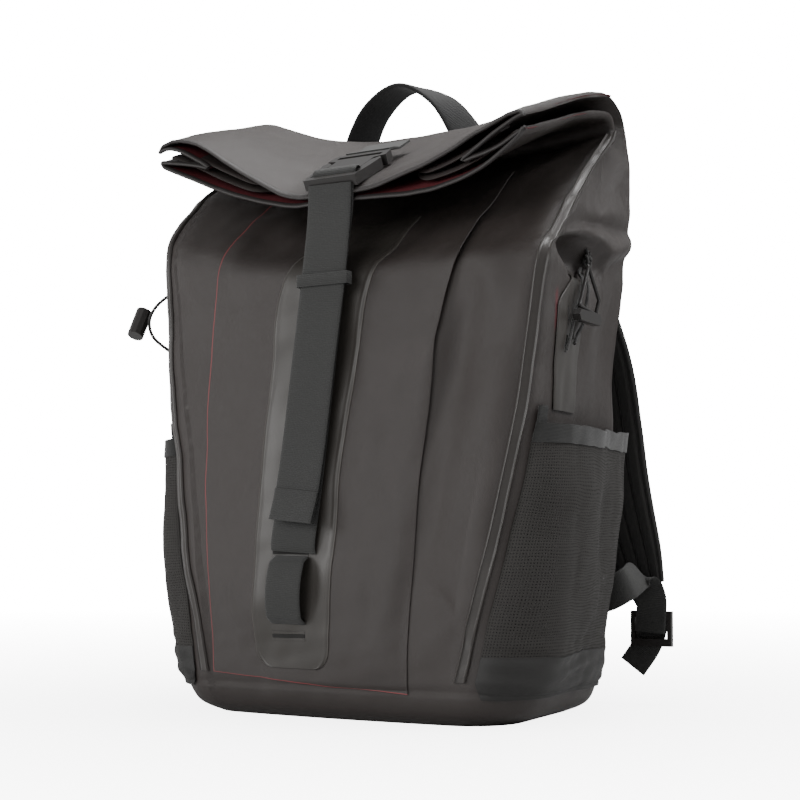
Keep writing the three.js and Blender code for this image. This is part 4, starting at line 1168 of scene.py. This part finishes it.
@dataclass
class Hardware:
    """Moulded plastic pieces: the frame's own shapes with rounded edges."""

    bevels: tuple = (
        ("buckle_male", 1.4), ("buckle_female", 1.8), ("ladder_lock_right", 1.2), ("ladder_lock_left", 1.2),
        ("cord_toggle_right", 1.6), ("cord_lock_left", 2.0),
    )
    buckle_shift: tuple = (0, -2, -5)
    bar: tuple = (3, -97.0, 397.0)
    bar_reach: float = 4.6

    def rounded(self, node: str, width: float) -> None:
        """Copies a node's shape and rounds its edges.

        Args:
            node: The node that the copy stands for.
            width: Width of the bevel in millimetres.
        """
        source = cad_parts[node]
        piece = bpy.data.objects.new(f"{node}_moulded", source.data.copy())
        piece.data.materials.clear()
        piece.data.materials.append(PLASTIC.make())
        if node.startswith("buckle"):
            piece.data.transform(Matrix.Translation(Vector(self.buckle_shift) * MM))
        bevel = piece.modifiers.new("edge", "BEVEL")
        bevel.width = width * MM
        bevel.segments = 3
        bevel.limit_method = "ANGLE"
        bevel.angle_limit = math.radians(28)
        bevel.use_clamp_overlap = True
        settle(piece)
        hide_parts(node)

    def dress(self) -> None:
        """Adds the rounded plastics."""
        for node, width in self.bevels:
            self.rounded(node, width)
        self.roller()

    def roller(self) -> None:
        """The turn of the webbing round the plug's bar, in the slot behind the front bar."""
        turn = np.linspace(-0.15 * math.pi, 1.15 * math.pi, 9)
        x, y, z = self.bar
        path = [(x, y - self.bar_reach * math.cos(angle), z + self.bar_reach * math.sin(angle))
                for angle in turn]
        Band("buckle_turn", path, [(1, 0, 0)], 37, 1.7, samples=40).dress()


@dataclass
class Handle:
    """The carrying handle: webbing folded round a core, flat where it is sewn on."""

    width: float = 28
    thickness: float = 4.4
    root_y: float = 99
    path: tuple = (
        (-0.327, 0, 0.885), (-0.315, 1, 0.935), (-0.287, 6, 0.990), (-0.225, 12, 1.048),
        (-0.130, 16, 1.078), (-0.034, 12, 1.050), (0.025, 6, 0.996), (0.068, 1, 0.935), (0.093, 0, 0.885),
    )

    def mesh(self) -> MeshData:
        """Sweeps a soft oblong whose width turns from flat on the back to across the grip.

        Returns:
            The mesh, in millimetres.
        """
        points = np.array([(SURFACE.width * x, self.root_y - lean, SURFACE.height * z)
                           for x, lean, z in self.path])
        line = curve_through(points, 120)
        ahead = unit(np.gradient(line, axis=0))
        side = unit(np.array([0, 1.0, 0]) - ahead * ahead[:, 1:2])
        out = np.cross(side, ahead)
        share = np.linspace(0, 1, len(line))
        rising = np.minimum(1, 2 * np.minimum(share, 1 - share))
        twist = (math.pi / 2 * (1 - rising) * np.where(share < 0.5, 1, -1))[:, None]
        wide = side * np.cos(twist) + out * np.sin(twist)
        flat = out * np.cos(twist) - side * np.sin(twist)
        turn = np.linspace(0, 2 * math.pi, 33)[:-1]
        x, y = oblong(turn, (0.35, 0.55), (self.width / 2, self.thickness / 2))
        ring = line[:, None] + wide[:, None] * x[:, None] + flat[:, None] * y[:, None]
        data = MeshData()
        data.grid(ring, closed=True, flip=True)
        data.fan(ring[0])
        data.fan(ring[-1], flip=True)
        return data

    def dress(self) -> None:
        """Adds the handle."""
        piece = self.mesh().build("handle_webbing", (GRIP,))
        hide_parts("top_handle")


@dataclass
class Harness:
    """Shoulder straps, back panel and the webbing below the straps."""

    path: tuple = (
        (0.862, 0.150, 8.8, 58, 6), (0.830, 0.180, 17, 62, 8), (0.760, 0.235, 27, 66, 9),
        (0.660, 0.290, 34, 68, 9), (0.560, 0.330, 38, 70, 9), (0.460, 0.355, 39, 68, 9),
        (0.380, 0.375, 37, 66, 9), (0.310, 0.405, 34, 60, 9), (0.240, 0.440, 31, 52, 8),
        (0.190, 0.468, 29, 40, 7),
    )
    seams: tuple = (-0.86, -0.52, -0.18, 0.18, 0.52, 0.86)
    beside: float = 3.8

    def place(self, side: int, row: tuple) -> tuple[float, float, float]:
        """The middle of the padding at a row of the path."""
        return side * SURFACE.width * row[1], SURFACE.depth / 2 + row[2], SURFACE.height * row[0]

    def strap_mesh(self, side: int) -> MeshData:
        """A padded strap with seams along it, where its thickness is drawn in.

        Args:
            side: 1 on the right, -1 on the left.

        Returns:
            The mesh, in millimetres.
        """
        rows = curve_through(np.array([self.place(side, row) + row[3:] for row in self.path]), 150)
        line = rows[:, :3]
        ahead = unit(np.gradient(line, axis=0))
        across = unit(np.array([1.0, 0, 0]) - ahead * ahead[:, :1])
        out = np.cross(across, ahead)
        share = np.linspace(-1, 1, 61)
        seams = sum(bell(share - place, 0.035) for place in self.seams)
        full = (1 - np.abs(share) ** 8) ** 0.5 * (1 - 0.42 * seams)
        middle = line[:, None] + across[:, None] * share[:, None] * rows[:, 3][:, None, None] / 2
        offset = out[:, None] * full[:, None] * rows[:, 4][:, None, None] / 2
        data = MeshData()
        data.sheet(middle + offset, middle - offset)
        return data

    def panel(self) -> Layer:
        """The padded back panel with channels for air.

        Returns:
            The layer.
        """
        def swell(rows: Array, share: Array) -> Array:
            """Pads between one upright channel and three level ones.

            Args:
                rows: Row numbers.
                share: Share of the panel's width, from 0 to 1.

            Returns:
                Heights in millimetres.
            """
            drop = bell(share - 0.5, 0.05) + sum(bell(rows - row, 0.18) for row in (4.0, 5.8, 7.6))
            height = 8 * (1 - 0.7 * np.clip(drop, 0, 1))
            for room in (np.minimum(share, 1 - share) / 0.04, (rows - 2) / 0.25, (10 - rows) / 0.25):
                height = height * np.clip(room, 0, 1) ** 0.5
            return height

        return Layer("back_padding", FOAM, ("back_panel",), 2, 10, ((2, -0.86, 0.86), (10, -0.86, 0.86)),
                     0.45, 1.0, (120, 90), swell=swell, to_way=lambda share: 4.5 + share / 2)

    def webbing(self, side: int, name: str) -> None:
        """The arc from the base corner to the lock, its free tail and the loop that holds the lock.

        Args:
            side: 1 on the right, -1 on the left.
            name: The side's name.
        """
        end = np.array(self.place(side, self.path[-1]))
        flip = np.array([side, 1, 1])
        hold = [end + flip * step for step in ((2.5, 0, -1.6), (7.6, 0, -10), (8, 0, -13), (8, 0, -22))]
        Band(f"lock_loop_{name}", hold, [(1, 0, 0)], 25, 1.7, (f"strap_end_{name}",), samples=30).dress()
        way = 3.5 if side > 0 else 5.5
        anchor = SURFACE.base(3.0, way) + unit(np.array([side, 1.0, 0])) * 4.05
        path = [anchor + flip * step for step in ((-6, 6, 10), (6, 0, 13), (20, 6, 22))]
        path += [end + flip * (x, y - self.beside, z)
                 for x, y, z in ((4, -8, 12), (10, -3, -4), (9, 0, -20), (8, 0, -34))]
        turns = [flip * turn for turn in (
            (0, 0, 1), (0, 0, 1), (-0.3, 0, 0.95), (-0.7, 0.3, 0.65), (-1, 0, 0), (-1, 0, 0), (-1, 0, 0))]
        Band(f"arc_webbing_{name}", path, turns, 25, 1.7, (f"lower_webbing_{name}",)).dress()
        tail = [end + flip * (x, y + self.beside, z)
                for x, y, z in ((8, 0, -20), (7, 0, -32), (1, 1, -46), (-10, 0, -62))]
        Band(f"tail_end_{name}", tail, [(1, 0, 0)], 24, 1.7, (f"webbing_tail_{name}",), samples=50).dress()

    def dress(self) -> None:
        """Adds the harness."""
        self.panel().dress()
        for side, name in ((1, "right"), (-1, "left")):
            strap = self.strap_mesh(side).build(f"shoulder_pad_{name}", (FOAM,))
            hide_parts(f"shoulder_strap_{name}")
            self.webbing(side, name)


@dataclass
class Sides:
    """Net pockets, reinforcement patches, cords and anchor tabs of both sides."""

    fullness: tuple = ((1, 0.00), (1.6, 0.05), (2, 0.26), (3, 0.70), (4, 0.96), (5.7, 0.92))
    pocket_edges: tuple = (
        (1.6, 0.30, 2.25), (2.0, 0.24, 2.25), (3.0, 0.33, 2.25), (4.0, 0.44, 2.25), (5.0, 0.56, 2.25),
        (5.7, 0.64, 2.25),
    )
    patch_edges: tuple = ((5.9, 1.0, 1.36), (7.5, 1.0, 1.42), (7.9, 1.14, 1.43), (8.3, 1.36, 1.44))
    slots: tuple = ((7.35, 1.14), (6.85, 1.13), (7.05, 1.24))
    bulge: float = 24

    def swell(self, rows: Array, share: Array) -> Array:
        """The pocket stands off in a soft arch, with gathers that run up from its base.

        Args:
            rows: Row numbers.
            share: Share of the pocket's width, from 0 to 1.

        Returns:
            Heights in millimetres.
        """
        (full,) = from_table(self.fullness, rows)
        arch = self.bulge * full * np.sin(math.pi * np.clip(share, 0, 1)) ** 0.8
        gather = np.sin(rows * 19 + 2.0 * np.sin(share * 5.0)) * np.sin(share * 7 + 1.0)
        low = smooth(1.65, 1.9, rows) * (1 - smooth(2.4, 3.0, rows))
        drape = 1.0 * np.sin(share * 17 + rows * 1.3) * smooth(2, 3.5, rows) * np.sin(math.pi * share)
        inside = np.sin(math.pi * share) ** 0.7
        return np.maximum(arch + 1.4 * gather * low * inside + drape, 0)

    def way(self, side: int) -> Callable[[Array], Array]:
        """Turns a way round the flank, from the front face backwards, into the way round the pack."""
        return (lambda flank: 1 + flank) if side > 0 else (lambda flank: 8 - flank)

    def layer(self, side: int, name: str, finish: Finish, node: str, rows: tuple, ways: tuple, lift: float,
              thickness: float, counts: tuple) -> None:
        """Adds one sheet with straight edges on a flank.

        Args:
            side: 1 on the right, -1 on the left.
            name: Name of the piece.
            finish: Its material.
            node: The node that it stands for, or an empty name.
            rows: First and last row.
            ways: First and last way round the flank, from the front face backwards.
            lift: Its height off the skin.
            thickness: Its own thickness.
            counts: Points along the rows and along the way.
        """
        edges = ((rows[0], *ways), (rows[1], *ways))
        turn_over(Layer(name, finish, (node,) if node else (), *rows, edges, lift, thickness, counts,
                        to_way=self.way(side)).dress(), side)

    def cord_path(self, side: int, table: tuple) -> Array:
        """Points off the flank: row, way round the flank and distance off the surface.

        Args:
            side: 1 on the right, -1 on the left.
            table: One row a point.

        Returns:
            Points in millimetres.
        """
        data = np.array(table)
        way = self.way(side)(data[:, 1])
        out = SURFACE.normal(SURFACE.base, data[:, 0], way)
        return SURFACE.skin(data[:, 0], way) + out * data[:, 2:3]

    def dress(self) -> None:
        """Adds everything on both flanks."""
        for side, name in ((1, "right"), (-1, "left")):
            for part, finish, nodes, first, last, lift in (
                    ("net", MESH, (f"net_pocket_{name}",), 2.2, 5.55, 0.5),
                    ("foot", BOOT, (), 1.6, 2.45, 1.0),
                    ("hem", HEM, (f"pocket_binding_{name}",), 5.40, 5.70, 1.6)):
                turn_over(Layer(f"pocket_{part}_{name}", finish, nodes, first, last, self.pocket_edges, lift,
                                1.0, (120 if part == "net" else 28, 110), swell=self.swell,
                                to_way=self.way(side)).dress(), side)
            turn_over(Layer(f"flank_patch_{name}", PATCH, (f"side_patch_{name}",), 5.9, 8.3,
                            self.patch_edges, 0.9, 0.9, (60, 30), to_way=self.way(side)).dress(), side)
            # Painted shadow: a dark sheet lies in each cord slot
            for index, (row, flank) in enumerate(self.slots):
                self.layer(side, f"cord_slot_{name}_{index + 1}", DARK, "", (row - 0.13, row + 0.13),
                           (flank - 0.012, flank + 0.012), 1.7, 0.5, (9, 5))
            self.layer(side, f"anchor_cloth_{name}", SHELL, f"anchor_tab_{name}", (2.78, 3.3), (2.36, 2.76),
                       0.5, 2.0, (16, 16))
            self.layer(side, f"pocket_stay_{name}", HEM, "", (5.6, 5.95), (0.64, 0.80), 2.2, 1.4, (10, 10))
        self.cords()

    def cords(self) -> None:
        """The elastic cords with their knot and hook."""
        front = self.cord_path(1, (
            (6.75, 1.10, 3.9), (6.95, 1.13, 4.2), (7.25, 1.18, 4.4), (7.6, 1.28, 4.4), (7.95, 1.40, 4.4),
            (8.25, 1.50, 4.2), (8.40, 1.535, 4.2)))
        rear = self.cord_path(1, (
            (6.85, 1.22, 3.9), (7.0, 1.27, 4.2), (7.2, 1.36, 4.4), (7.45, 1.40, 4.4), (7.8, 1.46, 4.4),
            (8.1, 1.53, 4.2), (8.36, 1.585, 4.2)))
        left = self.cord_path(-1, (
            (8.15, 1.03, 2.6), (8.1, 1.00, 8.0), (7.9, 0.90, 17.0), (7.65, 0.84, 21.0), (7.4, 0.86, 18.0),
            (7.2, 0.94, 9.0), (7.1, 1.02, 4.2)))
        Tube("cord_right_front", front, 2.6, ("side_cord_right_front",)).dress()
        Tube("cord_right_rear", rear, 2.6, ("side_cord_right_rear",)).dress()
        Tube("cord_left", left, 2.6, ("side_cord_left",)).dress()
        self.knot((front[-1] + rear[-1]) / 2 + np.array([1.8, 2, 5.5]))
        self.hook((front[3] + rear[3]) / 2 + np.array([4.2, 0, 2]))

    def knot(self, middle: Array) -> None:
        """An overhand knot with two short ends.

        Args:
            middle: Its middle.
        """
        turn = np.linspace(0, 4 * math.pi, 40)[:-1]
        reach = 3.4 + 1.3 * np.cos(1.5 * turn)
        path = middle + np.stack(
            [1.6 * np.sin(1.5 * turn), reach * np.cos(turn), reach * np.sin(turn)], axis=-1)
        Tube("cord_knot", path, 2.4, ("cord_knot_right",), samples=160, closed=True).dress()
        for index, (y, z) in enumerate(((-4, 9), (3, 10))):
            ends = [middle, middle + np.array([1.0, y * 0.5, z * 0.6]), middle + np.array([0.5, y, z])]
            Tube(f"cord_end_{index + 1}", ends, 2.4, samples=16).dress()

    def hook(self, middle: Array) -> None:
        """The wire-like triangle of the hook beside its bar.

        Args:
            middle: Its middle.
        """
        corners = np.array([(0.5, -16, -6), (1.5, -2, 24), (1.5, 17, 2), (0.5, 13, -9)])
        path = []
        for corner, after in zip(corners, np.roll(corners, -1, axis=0)):
            path += [corner, lerp(corner, after, 0.12), lerp(corner, after, 0.88)]
        Tube("hook_frame", [middle + place for place in path], 2.8, finish=PLASTIC, samples=140,
             closed=True).dress()


@dataclass
class Studio:
    """Pale floor, soft lights and the camera at the photograph's place."""

    floor_half: float = 60.0
    lamps: tuple = (
        ("key", (-1.5, -1.5, 0.85), 0.8, 11), ("top", (0.1, 0.1, 1.9), 0.8, 34),
        ("rim", (1.5, 0.5, 1.5), 0.7, 30), ("fill", (-0.2, -2.0, 0.75), 1.2, 22),
        ("under", (-1.3, -1.3, 0.5), 0.5, 7),
    )
    aim: tuple = (0, 0, 0.25)
    distance: float = 1.2
    eye_height: float = 0.126
    azimuth: float = 30
    pitch: float = 2.7
    lens: float = 69.2
    sensor: float = 36
    shift: float = 0.0906

    def floor(self) -> None:
        """The floor, white to the camera and paler the farther off it lies, but grey to all other rays."""
        half = self.floor_half
        mesh = bpy.data.meshes.new("floor")
        mesh.from_pydata([(-half, -half, 0), (half, -half, 0), (half, half, 0), (-half, half, 0)], [],
                         [(0, 1, 2, 3)])
        floor = bpy.data.objects.new("floor", mesh)
        bpy.context.scene.collection.objects.link(floor)
        pale = bpy.data.materials.new("pale_floor")
        pale.use_nodes = True
        tree = NodeTree(pale.node_tree)
        shader = tree.nodes["Principled BSDF"]
        shader.inputs["Base Color"].default_value = (0.55, 0.55, 0.55, 1)
        shader.inputs["Roughness"].default_value = 0.9
        shader.inputs["Emission Color"].default_value = (1, 1, 1, 1)
        place = tree.add("ShaderNodeTexCoord").outputs["Object"]
        far = tree.add("ShaderNodeVectorMath", operation="LENGTH", Vector=place).outputs["Value"]
        glow = tree.maths("MINIMUM", tree.maths("MULTIPLY", far, 6.0), 14.0)
        eye = tree.add("ShaderNodeLightPath").outputs["Is Camera Ray"]
        glow = tree.maths("MULTIPLY", tree.maths("ADD", glow, 4.5), eye)
        tree.link(glow, shader.inputs["Emission Strength"])
        mesh.materials.append(pale)

    def world(self) -> None:
        """White all round: bright to the camera, and a soft light on the piece."""
        world = bpy.data.worlds.new("studio")
        world.use_nodes = True
        tree = NodeTree(world.node_tree)
        seen = tree.add("ShaderNodeLightPath").outputs["Is Camera Ray"]
        strength = tree.maths("ADD", tree.maths("MULTIPLY", seen, 16.0), 0.50)
        background = tree.nodes["Background"]
        background.inputs["Color"].default_value = (1, 1, 1, 1)
        tree.link(strength, background.inputs["Strength"])
        bpy.context.scene.world = world

    def lights(self) -> None:
        """Square lamps that all look at the middle of the pack."""
        for name, place, size, power in self.lamps:
            lamp = bpy.data.lights.new(name, "AREA")
            lamp.energy, lamp.size = power, size
            light = bpy.data.objects.new(name, lamp)
            light.location = place
            light.rotation_euler = (Vector(self.aim) - Vector(place)).to_track_quat("-Z", "Y").to_euler()
            bpy.context.scene.collection.objects.link(light)

    def camera(self) -> None:
        """The camera, turned round the pack and level with its base."""
        camera = bpy.data.objects.new("camera", bpy.data.cameras.new("camera"))
        turn, pitch = math.radians(self.azimuth), math.radians(self.pitch)
        camera.location = (self.distance * math.sin(turn), -self.distance * math.cos(turn), self.eye_height)
        camera.rotation_euler = (math.pi / 2 + pitch, 0, turn)
        camera.data.lens, camera.data.sensor_width = self.lens, self.sensor
        camera.data.shift_y = self.shift
        bpy.context.scene.collection.objects.link(camera)
        bpy.context.scene.camera = camera

    def dress(self) -> None:
        """Sets up the whole studio."""
        for step in (self.floor, self.world, self.lights, self.camera):
            step()


def main() -> None:
    """Builds the scene: dresses every part, gives the buckle's anchor the webbing finish and sets up the
    studio.
    """
    logging.basicConfig(level=logging.INFO)
    for part in (Body(), FrontLayers(), ClosureStrap(), Hardware(), Handle(), Harness(), Sides()):
        part.dress()
        LOG.info("dressed %s", type(part).__name__)
    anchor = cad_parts["buckle_anchor"]
    for slot in anchor.material_slots:
        slot.material = WEBBING.make()
    Studio().dress()


if __name__ == "__main__":
    main()
